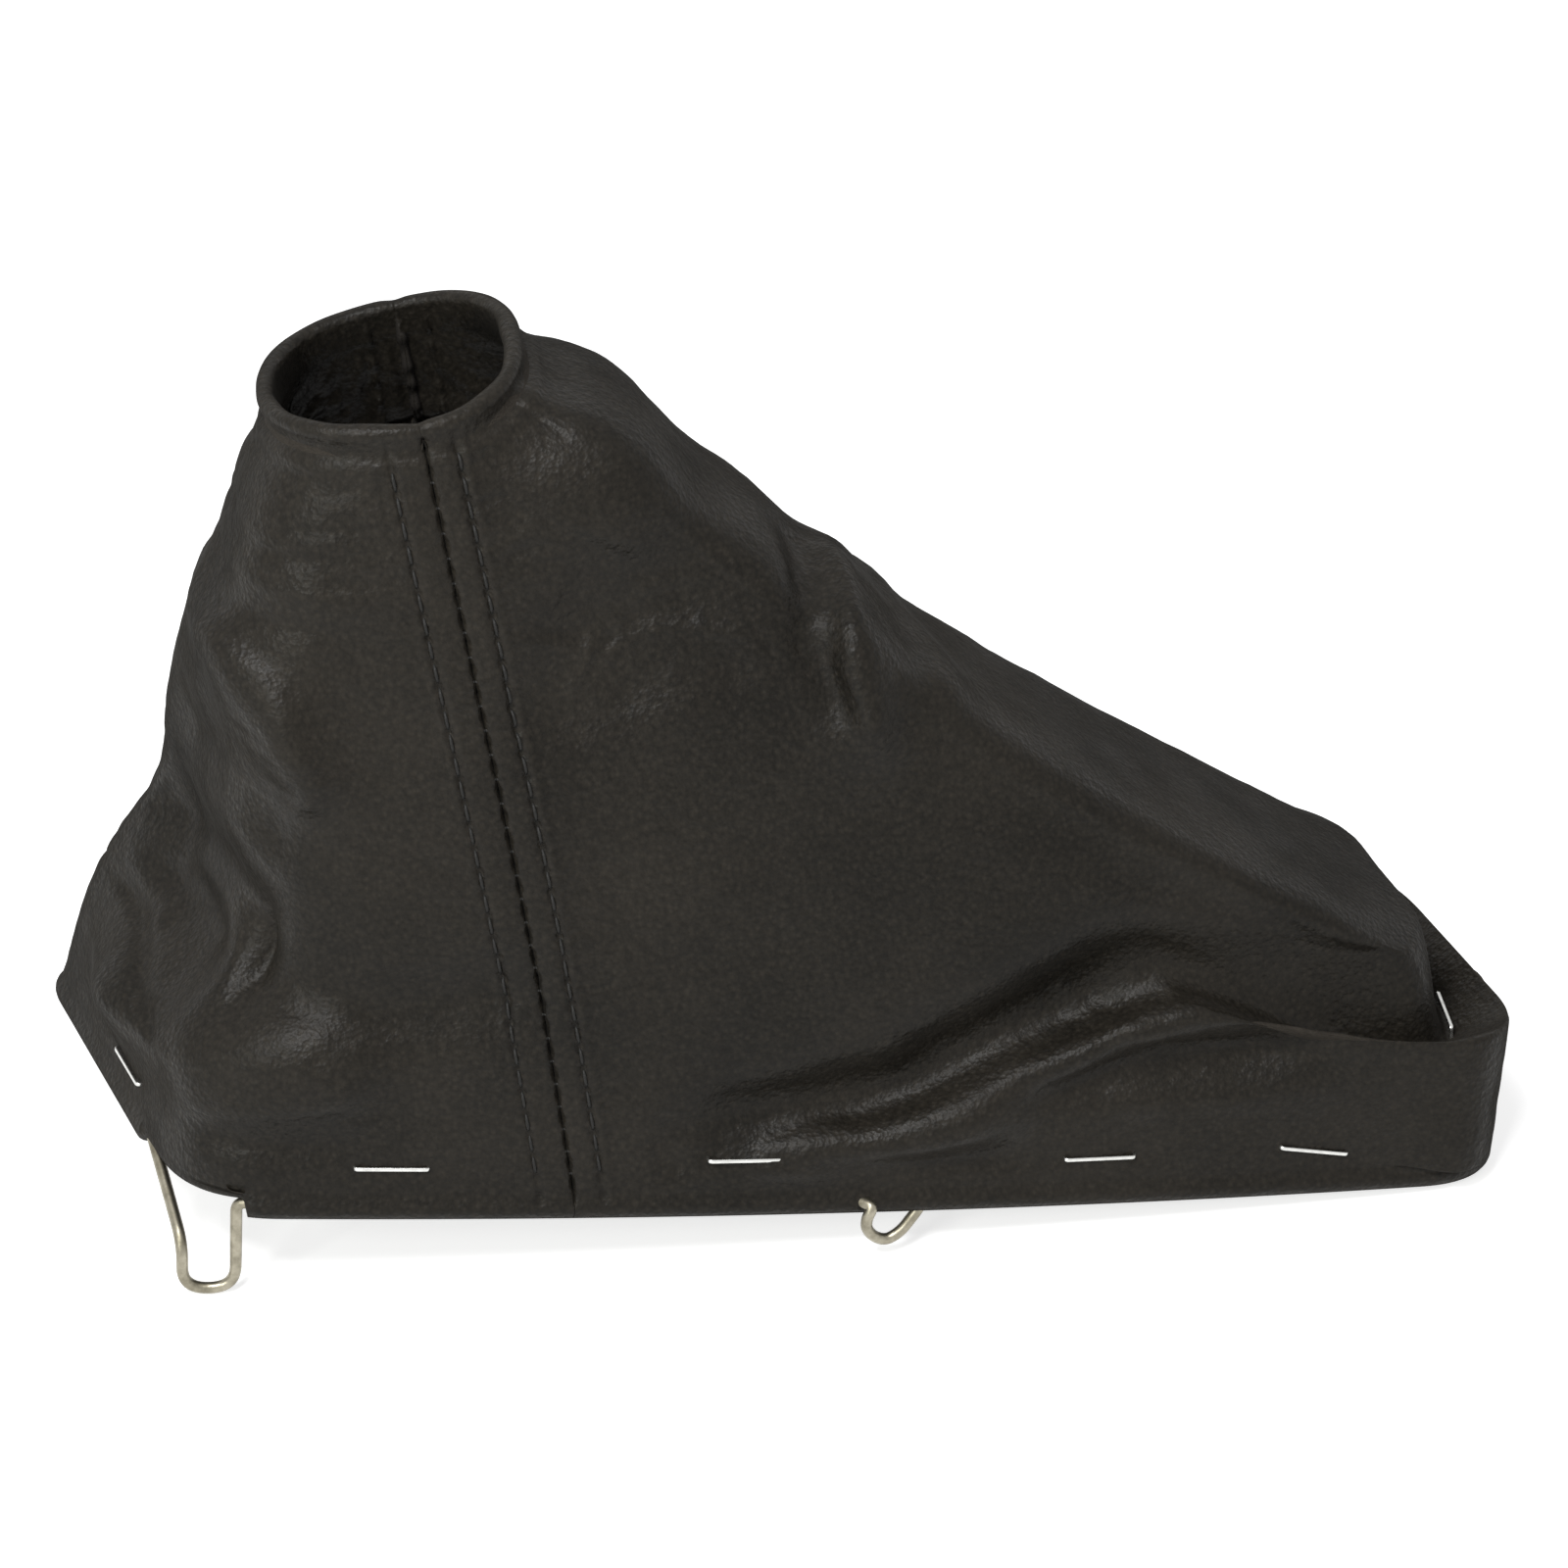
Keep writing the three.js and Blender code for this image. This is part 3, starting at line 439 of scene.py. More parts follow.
# Grid of a leather panel
LOW_ROWS = 16
BODY_ROWS = 134
TOP_ROWS = 22
BEAD_ROWS = 15
RIM_ROWS = 13
COLUMNS = {"rear": 250, "front": 180}
STRIP = 9.0
STRIP_STEP = 0.45
HEM_WEIGHT = 1.6
MOUTH_WEIGHT = 0.06
MOUTH_LIFT = (1.4, 3.3)
MOUTH_RISE = 1.5
MOUTH_FALL = 0.8
BEAD_TURN = (150, 390)
RIM_TURN = (-35, 205)
PINCH_SPREAD = 1.6
RIM_RADIUS = 1.5
FACING_REACH = FACING_DEPTH - RIM_HEIGHT + 4.5
FACING_SLACK = 0.2
GATHER_PACE = 19
RIM_UNEVEN = 0.05
SEAM_ROLL = 1.0
SEAM_BLEND = 4.0
FLESH_SOFTENING = 6
FLESH_STEP = 4
LIP_LEATHER = 0.2


def softened(grid, passes):
    """Grid with each row and column averaged with its neighbours, a number of times."""
    for _ in range(passes):
        for axis in (0, 1):
            wide = np.pad(grid, [(1, 1) if k == axis else (0, 0) for k in range(3)], mode="edge")
            ahead, behind = (np.take(wide, np.arange(grid.shape[axis]) + k, axis=axis) for k in (2, 0))
            grid = (ahead + behind + grid) / 3
    return grid


def grid_normals(grid):
    along = np.gradient(grid, axis=1)
    rise = np.gradient(grid, axis=0)
    return unit(np.cross(along, rise))


def clip_mouths():
    """Arcs between which each long clip leaves the hem."""
    near = near_arc_at(LONG_CLIP_X)
    far = far_arc_at(LONG_CLIP_X)
    return {"near": (near - LONG_CLIP_MOUTH["near"], near), "far": (far, far + LONG_CLIP_MOUTH["far"])}


def panel_columns(panel):
    """Arcs of the columns: close together beside the seams, the clips and where the collar turns fast."""
    start, end = SPANS[panel]
    strip = np.arange(SEAM_GAP / 2, STRIP, STRIP_STEP)
    inner = np.linspace(start + STRIP, end - STRIP, 4000)
    measure = HEM_WEIGHT * (inner - start) / (end - start) + collar_angle(inner) / math.pi
    for edge in np.ravel(list(clip_mouths().values())):
        measure = measure + MOUTH_WEIGHT * np.tanh(inner - edge)
    measure = np.maximum.accumulate(measure) + 1e-6 * (inner - start)
    goals = np.linspace(measure[0], measure[-1], COLUMNS[panel])
    return np.concatenate([start + strip, np.interp(goals, measure, inner), end - strip[::-1]])


def mouth_lift(arc):
    """How high the lower edge of the leather is folded up over a long clip."""
    lift = np.zeros_like(arc)
    room = WIRE_DIAMETER / 2 + CLEARANCE
    for side, (start, end) in clip_mouths().items():
        along = arc - start if side == "near" else end - arc
        width = end - start
        inside = smoothstep(along, -room, MOUTH_RISE) * (1 - smoothstep(along - width - room, 0, MOUTH_FALL))
        share = np.clip(along / width, 0, 1)
        lift = np.maximum(lift, inside * (MOUTH_LIFT[0] + (MOUTH_LIFT[1] - MOUTH_LIFT[0]) * share))
    return lift


class Sheet:
    """Grid of one leather panel, from the free edge of the inner flap to the free edge of the facing."""

    def __init__(self, panel):
        self.panel = panel
        self.arcs = panel_columns(panel)
        self.length = wall_length(self.arcs)
        self.lift = mouth_lift(self.arcs)
        self.up0 = self.distances_up()
        self.wall = wall(self.arcs[None, :], self.up0)
        self.from_start = lengths_along(self.wall.transpose(1, 0, 2)).T + SEAM_GAP / 2
        self.from_end = self.from_start[:, -1:] - self.from_start + SEAM_GAP / 2
        self.seam = np.minimum(self.from_start, self.from_end)
        self.normals = self.shared_normals()
        self.rise = lengths_along(self.wall)

    def distances_up(self):
        low = np.linspace(0, FLAP_HEIGHT, LOW_ROWS)[:, None]
        raised = np.maximum(0, self.lift + FOOT_OFFSET - FOOT_HEIGHT)
        low = raised + low * (1 - raised / FLAP_HEIGHT)
        top = self.length - np.linspace(FACING_REACH, 0, TOP_ROWS)[:, None]
        share = np.linspace(0, 1, BODY_ROWS + 2)[1:-1, None]
        return np.concatenate([low, low[-1] + (top[0] - low[-1]) * share, top])

    def shared_normals(self):
        """Normals of the wall, which turn towards the seams into the ones that both panels share there."""
        normals = grid_normals(self.wall)
        for arc, column, distance in zip(SPANS[self.panel], (0, -1), (self.from_start, self.from_end)):
            up0 = self.up0[:, column]
            across = wall(np.array([arc + 1.0]), up0) - wall(np.array([arc - 1.0]), up0)
            shared = unit(np.cross(across, np.gradient(self.wall[:, column], axis=0)))
            own = smoothstep(distance, 0.3, SEAM_BLEND)[..., None]
            normals = unit(shared[:, None] + (normals - shared[:, None]) * own)
        return normals

    def bead(self):
        """Leather round the wire; over a clip's mouth it is a flat fold, higher up."""
        point, out = hem_at(self.arcs)
        outward = np.concatenate([out, np.zeros((len(self.arcs), 1))], axis=1)
        base = np.concatenate([point, np.zeros((len(self.arcs), 1))], axis=1)
        flat = np.clip(self.lift / MOUTH_LIFT[0], 0, 1)
        rows = []
        for angle in np.radians(np.linspace(*BEAD_TURN, BEAD_ROWS)):
            radius = BEAD_OUTER + (FOOT_OFFSET - BEAD_OUTER) * flat
            z = self.lift + radius * (1 + math.sin(angle))
            offset = radius * math.cos(angle)
            rows.append(base + outward * offset[:, None] + UP * z[:, None])
        return np.array(rows)

    def rim(self):
        angle = collar_angle(self.arcs)
        uneven = 1 + RIM_UNEVEN * (np.sin(angle * 3 + 1) + np.sin(angle * 7 + 2) + 0.6 * np.sin(angle * 13))
        pinched = bell(self.seam[-1], PINCH_SPREAD)
        radius = RIM_RADIUS * uneven * (1 - 0.15 * pinched)
        rows = []
        for turn in np.radians(np.linspace(*RIM_TURN, RIM_ROWS)):
            offset = RIM_BULGE - radius + radius * math.cos(turn) - 0.2 * pinched
            down = RIM_RADIUS - radius * math.sin(turn) + 0.12 * pinched
            rows.append(collar_place(angle, offset, down))
        return np.array(rows)

    def gathers(self, rows):
        """Small folds of the turned-in leather inside the collar, strongest at the far seam."""
        angle = collar_angle(self.arcs)
        far = bell(angle - math.pi / 2, 0.5)
        depth = np.linspace(0, 1, len(rows))[:, None]
        fan = (angle - math.pi / 2) / (0.45 + 0.55 * depth)
        waves = np.sin(fan * GATHER_PACE + 1.5 * np.sin(angle * 5 + depth * 2))
        waves = waves + 0.6 * np.sin(fan * GATHER_PACE * 1.7 + 2 * depth)
        waves = waves + 0.5 * np.sin(depth * 14 + angle * 6)
        return 1.0 + waves * (0.22 + 0.3 * far)

    def grain(self, relief):
        """All rows of the grain side, and the row numbers at which the parts of the sheet begin."""
        flap_rows = np.arange(LOW_ROWS - 1, 0, -2)
        facing_rows = np.arange(len(self.up0) - 2, len(self.up0) - TOP_ROWS - 1, -1)
        sunk = np.minimum(relief, 0)[..., None]
        flap = self.wall[flap_rows] + self.normals[flap_rows] * (sunk[flap_rows] - LAYERS)
        body = self.wall + self.normals * relief[..., None]
        depth = np.linspace(0, 1, len(facing_rows))[:, None, None]
        inward = sunk[facing_rows] - LAYERS - FACING_SLACK - depth * self.gathers(facing_rows)[..., None]
        facing = self.wall[facing_rows] + self.normals[facing_rows] * inward
        parts = [flap, self.bead(), body, self.rim(), facing]
        starts = np.cumsum([0] + [len(part) for part in parts])
        return np.concatenate(parts), starts


def frame_angle():
    rest_span = BASE_LENGTH / 2 - (LONG_CLIP_X - LONG_CLIP_WIDTH / 2)
    return math.atan2(LONG_CLIP_DROP, rest_span)


def to_frame(points, shift):
    """Turns points of the level hem, in millimetres, into the frame, in metres."""
    angle = frame_angle()
    c, s = math.cos(angle), math.sin(angle)
    x, y, z = (points[..., k] for k in range(3))
    turned = np.stack([x * c + z * s, y, -x * s + z * c], axis=-1)
    return turned * MM + shift


def mesh_object(name, points, faces):
    mesh = bpy.data.meshes.new(name)
    mesh.from_pydata([tuple(p) for p in points], [], faces)
    mesh.validate()
    mesh.polygons.foreach_set("use_smooth", [True] * len(mesh.polygons))
    mesh.update()
    obj = bpy.data.objects.new(name, mesh)
    bpy.context.scene.collection.objects.link(obj)
    return obj


# Wire frame
def on_hem(arc, offset=0.0, rise=0.0):
    point, out = hem_at(np.array([float(arc)]))
    return np.array([*(point[0] + out[0] * offset), BEAD_OUTER + rise])


def hem_stretch(start, end):
    return [on_hem(arc) for arc in np.linspace(start, end, max(3, int((end - start) / 2.5)))]


def rounded(corners):
    """Chain of points through corners, each given with its radius."""
    t = np.linspace(0, 1, 13)[:, None]
    chain = [corners[0][0]]
    for i in range(1, len(corners) - 1):
        corner, radius = corners[i]
        to_back = corners[i - 1][0] - corner
        to_front = corners[i + 1][0] - corner
        cut = min(radius, norm(to_back) * 0.49, norm(to_front) * 0.49)
        start = corner + unit(to_back) * cut
        end = corner + unit(to_front) * cut
        chain.extend((1 - t) ** 2 * start + 2 * t * (1 - t) * corner + t * t * end)
    chain.append(corners[-1][0])
    return chain


def long_clip(side):
    """Long clip, from the hem before it to the hem after it; its shoulder is always at the front."""
    start, end = clip_mouths()[side]
    front_hem, back_leg = (on_hem(arc) for arc in ((start, end) if side == "near" else (end, start)))
    front = back_leg - np.array([LONG_CLIP_WIDTH, 0, 0])
    low = WIRE_DIAMETER / 2 - LONG_CLIP_DROP
    legs = [(front, -LONG_CLIP_SHOULDER, CLIP_LEAD), (front, low, LONG_CLIP_WIDTH / 2),
            (back_leg, low, LONG_CLIP_WIDTH / 2), (back_leg, BEAD_OUTER, WIRE_BEND)]
    corners = [(front_hem, WIRE_BEND)] + [(np.array([leg[0], leg[1], z]), bend) for leg, z, bend in legs]
    corners = corners if side == "near" else corners[::-1]
    return rounded([(on_hem(start - CLIP_LEAD), 0), *corners, (on_hem(end + CLIP_LEAD), 0)])


# Short clip: along the hem, out of it and up from the middle of the wire, for each point of its curve
SHORT_CLIP_CURVE = [
    (-8.2, 0, 0), (-6.0, 0.2, 0.1), (-4.1, 1.6, 0.5), (-2.9, 3.1, 0.3), (-3.5, 3.5, -1.7), (-3.2, 3.0, -4.0),
    (-1.6, 2.4, -6.1), (0.6, 2.0, -6.9), (2.9, 1.6, -5.6), (4.8, 1.0, -3.3), (6.4, 0.4, -1.2), (8.2, 0, 0),
]


def short_clip(arc, front_first):
    front = 1 if front_first else -1
    curve = [(-SHORT_CLIP_RUN, 0, 0), *SHORT_CLIP_CURVE, (SHORT_CLIP_RUN, 0, 0)]
    points = [on_hem(arc + front * along, out, rise) for along, out, rise in curve]
    chain = list(smooth_line(np.array(points), 5))
    return chain if front_first else chain[::-1]


def wire_chain():
    middle = rear_arc_at(0)
    near = near_arc_at(SHORT_CLIP_X)
    far = far_arc_at(SHORT_CLIP_X)
    mouths = clip_mouths()
    parts = [
        hem_stretch(middle + WIRE_END_GAP / 2, far - SHORT_CLIP_RUN), short_clip(far, False)[1:-1],
        hem_stretch(far + SHORT_CLIP_RUN, mouths["far"][0] - CLIP_LEAD), long_clip("far")[1:-1],
        hem_stretch(mouths["far"][1] + CLIP_LEAD, mouths["near"][0] - CLIP_LEAD), long_clip("near")[1:-1],
        hem_stretch(mouths["near"][1] + CLIP_LEAD, HEM_TOTAL + near - SHORT_CLIP_RUN),
        short_clip(near, True)[1:-1],
        hem_stretch(near + SHORT_CLIP_RUN, middle - WIRE_END_GAP / 2),
    ]
    return np.array([point for part in parts for point in part])


def tube_faces(rings, sides):
    """Faces of a closed tube, whose points are given ring by ring."""
    faces = []
    for k in range(0, (rings - 1) * sides, sides):
        for i in range(sides):
            n = (i + 1) % sides
            faces.append((k + i, k + n, k + n + sides, k + i + sides))
    return [*faces, tuple(range(sides - 1, -1, -1)), tuple(range((rings - 1) * sides, rings * sides))]


def round_bar(chain, radius, sides, end_round=0.35):
    """Closed bar along a chain of points, with softened ends."""
    chain = chain[np.concatenate([[True], norm(np.diff(chain, axis=0)) > SHORTEST_STEP])]
    runs = unit(np.concatenate([chain[1:2] - chain[:1], chain[2:] - chain[:-2], chain[-1:] - chain[-2:-1]]))
    across = np.cross(UP, runs[0])
    if norm(across) < 0.1:
        across = np.array([1.0, 0, 0])
    rings = []
    angles = np.linspace(0, 2 * math.pi, sides, endpoint=False)
    for point, run in zip(chain, runs):
        across = unit(across - run * (across @ run))
        rings.append((point, across, np.cross(run, across), radius))
    first, last = rings[0], rings[-1]
    rings.insert(0, (first[0] - runs[0] * end_round * radius, *first[1:3], radius * (1 - end_round)))
    rings.append((last[0] + runs[-1] * end_round * radius, *last[1:3], radius * (1 - end_round)))
    points = [p + r * (math.cos(a) * u + math.sin(a) * v) for p, u, v, r in rings for a in angles]
    return np.array(points), tube_faces(len(rings), sides)


def shift_to_frame():
    """Shift of the level hem into the frame, found where the wire frame lies."""
    points, _ = round_bar(wire_chain(), WIRE_DIAMETER / 2, WIRE_SIDES)
    turned = to_frame(points, np.zeros(3))
    low, high = (np.array(corner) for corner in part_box("wire_frame"))
    return (low + high) / 2 - (turned.min(axis=0) + turned.max(axis=0)) / 2


SHIFT = shift_to_frame()


def place_in_frame(points):
    return to_frame(np.asarray(points), SHIFT)


def quads(*corners):
    """Faces between four grids of point numbers, each of which gives a corner."""
    return np.stack(corners, axis=-1).reshape(-1, 4).tolist()


def sheet_object(sheet, relief):
    """Closed mesh of a panel: fine grain side, coarser flesh side, and the cut edges between them."""
    grain, starts = sheet.grain(relief)
    normals = grid_normals(grain)
    rows, columns = grain.shape[:2]
    thickness = np.full((rows, columns), LEATHER)
    whole = slice(starts[2] + 1, starts[3] - 1)
    lip = smoothstep(lip_share(sheet.arcs), 0, 0.3) * smoothstep(sheet.up0[1:-1], 10, LIP_HEIGHT - 8)
    lip = lip * (1 - smoothstep(sheet.up0[1:-1], NOSE_UP, NOSE_UP + 12))
    soft = softened(normals[whole], FLESH_SOFTENING)
    normals[whole] = unit(soft + (normals[whole] - soft) * lip[..., None])
    thickness[whole] = LEATHER - (LEATHER - LIP_LEATHER) * lip
    thin = starts[2] + 1 + np.flatnonzero(lip.max(axis=1) > 0)
    coarse = [np.arange(first, end, step) for first, end, step in
              ((0, starts[2], 2), (starts[2], starts[3], FLESH_STEP), (starts[3], rows, 2))]
    flesh_rows = np.unique(np.concatenate([*coarse, thin, [rows - 1]]))
    body = slice(starts[2] + LOW_ROWS, starts[3] - TOP_ROWS)
    seam = sheet.seam[LOW_ROWS:len(sheet.up0) - TOP_ROWS]
    thickness[body] += LEATHER * (1 - smoothstep(seam, ALLOWANCE - 0.4, ALLOWANCE + 0.4))
    flesh = (grain - normals * thickness[..., None])[flesh_rows]
    points = np.concatenate([grain.reshape(-1, 3), flesh.reshape(-1, 3)])
    offset = rows * columns
    g = np.arange(offset).reshape(rows, columns)
    f = offset + np.arange(len(flesh_rows) * columns).reshape(-1, columns)
    outer = quads(g[:-1, :-1], g[:-1, 1:], g[1:, 1:], g[1:, :-1])
    inner = quads(f[:-1, :-1], f[1:, :-1], f[1:, 1:], f[:-1, 1:])
    edges = quads(g[0, :-1], f[0, :-1], f[0, 1:], g[0, 1:])
    edges += quads(g[-1, :-1], g[-1, 1:], f[-1, 1:], f[-1, :-1])
    for low, high, below, above in zip(flesh_rows[:-1], flesh_rows[1:], f[:-1], f[1:]):
        edges.append([*g[low:high + 1, 0].tolist(), int(above[0]), int(below[0])])
        edges.append([int(below[-1]), int(above[-1]), *g[low:high + 1, -1][::-1].tolist()])
    obj = mesh_object(f"leather_{sheet.panel}_panel", place_in_frame(points), outer + inner + edges)
    kinds = np.repeat([0, 1, 2], [len(outer), len(inner), len(edges)])
    obj.data.polygons.foreach_set("material_index", kinds)
    return obj


# Staples
def staple_frame(arc, height):
    """Seat, side direction and normal of a staple at a height over the foot of the wall."""
    around = np.array([arc - STAPLE_CROWN / 4, arc, arc + STAPLE_CROWN / 4])
    row = wall(around, np.full(3, height))
    rise = wall(around[1:2], np.array([height + 0.5]))[0] - wall(around[1:2], np.array([height - 0.5]))[0]
    side = unit(row[2] - row[0])
    normal = unit(np.cross(side, rise))
    return row[1], side, normal


STAPLES = {
    "staple_front": (front_arc_at(FRONT_STAPLE_Y), FRONT_STAPLE_HEIGHT - FOOT_HEIGHT),
    "staple_rear_near": (rear_arc_at(-REAR_STAPLE_Y), VALLEY_UP),
    "staple_rear_far": (rear_arc_at(REAR_STAPLE_Y), VALLEY_UP),
}
for number, (x, staple_height) in enumerate(zip(SIDE_STAPLE_XS, SIDE_STAPLE_HEIGHTS), 1):
    STAPLES[f"staple_near_{number}"] = (near_arc_at(x), staple_height - FOOT_HEIGHT)
    STAPLES[f"staple_far_{number}"] = (far_arc_at(x), staple_height - FOOT_HEIGHT)


# Creases finer than the folds: line of places, height, width, and lap, which makes the side to the left of
# the line steeper where it is negative and the side to its right where it is positive
FRONT_CREASES = [
    # Near flank of the front: sharp crease under the waist, hollow below it, ridge and step of the front end
    ([(43, 72), (34, 73.5), (28, 72), (25, 68), (23.5, 62), (21.5, 56)], 1.2, 3.2, -0.3),
    ([(46, 60), (33, 60), (27, 56), (23, 52)], -0.9, 6, 0),
    ([(57, 27), (49, 30), (40, 32), (33, 27)], 0.9, 5.5, 0.3),
    ([(58, 20), (47, 17.5), (40, 13.5), (34, 10)], -1.2, 1.8, 0.3),
    ([(60, 24), (52, 22), (46, 20)], 1.0, 3.5, 0),
    ([(32, 9), (28, 9.5), (23, 11), (19, 12), (15, 15)], 0.8, 3.4, 0.4),
    ([(34, 26), (28, 25), (23, 23.5), (17, 22), (10, 22)], -0.4, 5, 0),
    ([(28, 22), (22, 21), (17, 20), (11, 17)], 0.3, 3, 0),
    ([(39, 16), (36, 14), (33, 12)], 0.7, 1.4, 0),
    ([(29, 6.2), (23, 6), (16, 6)], -1.0, 2.6, 0),
    # Soft rings round the near side of the collar
    ([(50, 96), (30, 96.5), (10, 95.5)], -0.3, 1.6, 0),
    ([(45, 91), (25, 93), (6, 91)], -0.35, 2.2, 0),
    ([(40, 86), (25, 87.5), (14, 86)], -0.45, 2.6, 0),
    ([(42, 82), (27, 83.5), (8, 80)], 0.4, 2.6, 0),
    ([(38, 77.5), (25, 78.5), (6, 75)], -0.35, 2.4, 0),
    # Far side, where the same pulls run from the collar, the seam and the rear corner
    ([(60, 74), (72, 72), (78, 66), (80, 58)], 1.3, 2.6, 0.35),
    ([(66, 30), (74, 28), (82, 24), (90, 22)], -1.4, 3.2, 0),
    ([(70, 12), (78, 11), (86, 14)], 1.2, 3.0, -0.5),
    ([(60, 93), (75, 92), (92, 93)], -0.7, 2.0, 0),
    ([(62, 84), (75, 83), (90, 80)], 0.8, 2.6, 0),
]
REAR_CREASES = [
    # Hollow beside the near seam, with thin creases in it
    ([(10, 72), (16, 79), (28, 84)], -1.5, 8, 0),
    ([(6.5, 66.5), (9, 69), (13, 73), (21, 76.5)], 0.6, 1.0, 0.2),
    ([(12, 71), (20, 73), (27, 72.5), (33, 70)], 0.45, 0.9, 0),
    ([(22, 78), (30, 78.5), (38, 78)], 0.4, 1.0, 0),
    ([(9, 64), (20, 68), (30, 66)], -0.8, 4, 0),
    # Pinched fold that breaks the line of the slope behind the collar
    ([(52, 71.5), (46, 71), (42.8, 69.7), (38.8, 65.5), (34.7, 59.7), (31.5, 53)], 2.5, 3.0, 0.2),
    ([(49, 75), (45, 74.5), (41.5, 72.2), (37.6, 67.5), (33.8, 62), (31.2, 56.5)], -1.7, 3.6, 0),
    ([(66, 64), (58, 63), (50, 62.5), (44, 60), (40, 56)], 1.6, 5.0, 0),
    # Long valley of the near side, its ridges and the second valley under them
    ([(5, 5.5), (10.3, 7), (16.3, 9.5), (21.9, 13.6), (27.7, 16.8), (32, 18)], -2.4, 5.4, 0.4),
    ([(22, 13), (27.7, 16.3), (33.1, 19), (38, 21), (43, 23.5), (47, 27)], -2.2, 8.0, 0.3),
    ([(7, 3.5), (12.9, 4.7), (17.3, 6.6), (20.5, 8.7), (24.4, 11.3), (28.9, 13.7), (33.4, 15.3), (37, 17)],
     1.3, 4.2, -0.3),
    ([(7, 2.5), (12, 3.5), (17, 5), (21, 7)], 1.0, 4.0, 0),
    ([(20, 8), (23.8, 9), (26.5, 10), (30, 11.2), (33, 10.9), (35.2, 9.8), (37, 9)], -1.5, 3.4, 0.2),
    ([(15, 5), (18.5, 5.7), (24.6, 6.7), (31.7, 6.6), (37.4, 7.2)], 0.9, 3.4, 0),
    ([(27, 17.5), (29, 15), (31, 12.5)], 0.6, 1.0, 0),
    ([(32, 16.5), (29, 14.5), (26.5, 12.5)], 0.6, 1.0, 0),
    ([(5.5, 9.5), (4.5, 5), (5, 1.5)], -0.9, 2.6, 0),
    ([(7, 6), (10, 6.2), (14, 7)], 0.8, 2.0, 0),
    ([(10, 3), (15, 2.8), (22, 2.5)], -0.8, 2.6, 0),
    ([(95, 8), (88, 12), (80, 18), (72, 25), (64, 28)], -2.2, 4.5, 0.3),
    ([(92, 6), (85, 8), (77, 13), (70, 18), (64, 20)], 1.3, 2.8, 0),
    ([(80, 8), (74, 11), (68, 12), (62, 14)], -1.4, 3.0, 0),
    ([(93, 66), (88, 70), (80, 74)], 0.6, 1.1, 0),
    ([(90, 60), (80, 66), (72, 74), (68, 80)], -1.2, 5, 0),
]
CREASES = {"front": FRONT_CREASES, "rear": REAR_CREASES}

# Patches of short wrinkles: middle and half size in percent, direction and spread in degrees, then count,
# length, height and width in millimetres
FRONT_WRINKLES = [
    ((27, 88), (22, 10), 4, 12, 22, 11, -0.22, 0.8),
    ((25, 62), (20, 12), -10, 30, 10, 10, -0.15, 0.9),
    ((22, 16), (14, 8), 10, 60, 16, 8, -0.18, 0.8),
    ((75, 85), (22, 12), -4, 14, 26, 10, -0.32, 0.7),
    ((75, 20), (20, 12), 0, 50, 22, 8, -0.28, 0.7),
]
REAR_WRINKLES = [
    ((8, 90), (7, 7), 6, 16, 18, 8, -0.3, 0.7),
    ((20, 74), (14, 7), 25, 30, 26, 8, 0.2, 0.65),
    ((40, 66), (10, 8), 60, 30, 14, 8, -0.25, 0.7),
    ((31, 14), (12, 7), 38, 14, 40, 7, -0.28, 0.6),
    ((31, 12), (12, 7), -42, 16, 40, 7, -0.28, 0.6),
    ((37, 6), (8, 5), 10, 50, 26, 6, -0.25, 0.6),
    ((12, 6), (7, 4), 10, 30, 18, 7, 0.25, 0.7),
    ((44, 50), (10, 15), 20, 60, 10, 10, -0.14, 0.9),
    ((25, 40), (16, 14), 15, 70, 12, 9, -0.1, 0.8),
    ((70, 14), (14, 8), 30, 30, 40, 8, -0.28, 0.65),
    ((85, 75), (10, 10), -20, 30, 26, 8, 0.28, 0.65),
    ((50, 8), (8, 4), 0, 50, 20, 6, -0.25, 0.6),
]
WRINKLES = {"front": FRONT_WRINKLES, "rear": REAR_WRINKLES}

# Soft lumps of the leather: height and size in millimetres, and seed
LUMPS = [(0.12, 17, 3), (0.05, 7, 4), (0.03, 3.2, 5)]

# Rings under the rim: height, distance from the groove and width
RIM_RINGS = [(0.3, 2.6, 1.0), (-0.6, 0.6, 0.9)]

# Dimples at the staples, fullness at the near rear corner, and how far the folded lip is kept free of creases
LEG_DIMPLE = 0.5
CROWN_DIMPLE = 0.05
STAPLE_PULL = 0.15
DOG_EAR_HEIGHT = 3.4
DOG_EAR_SPREAD = 7.0
DOG_EAR_INSET = 4
LIP_CALM = 0.85


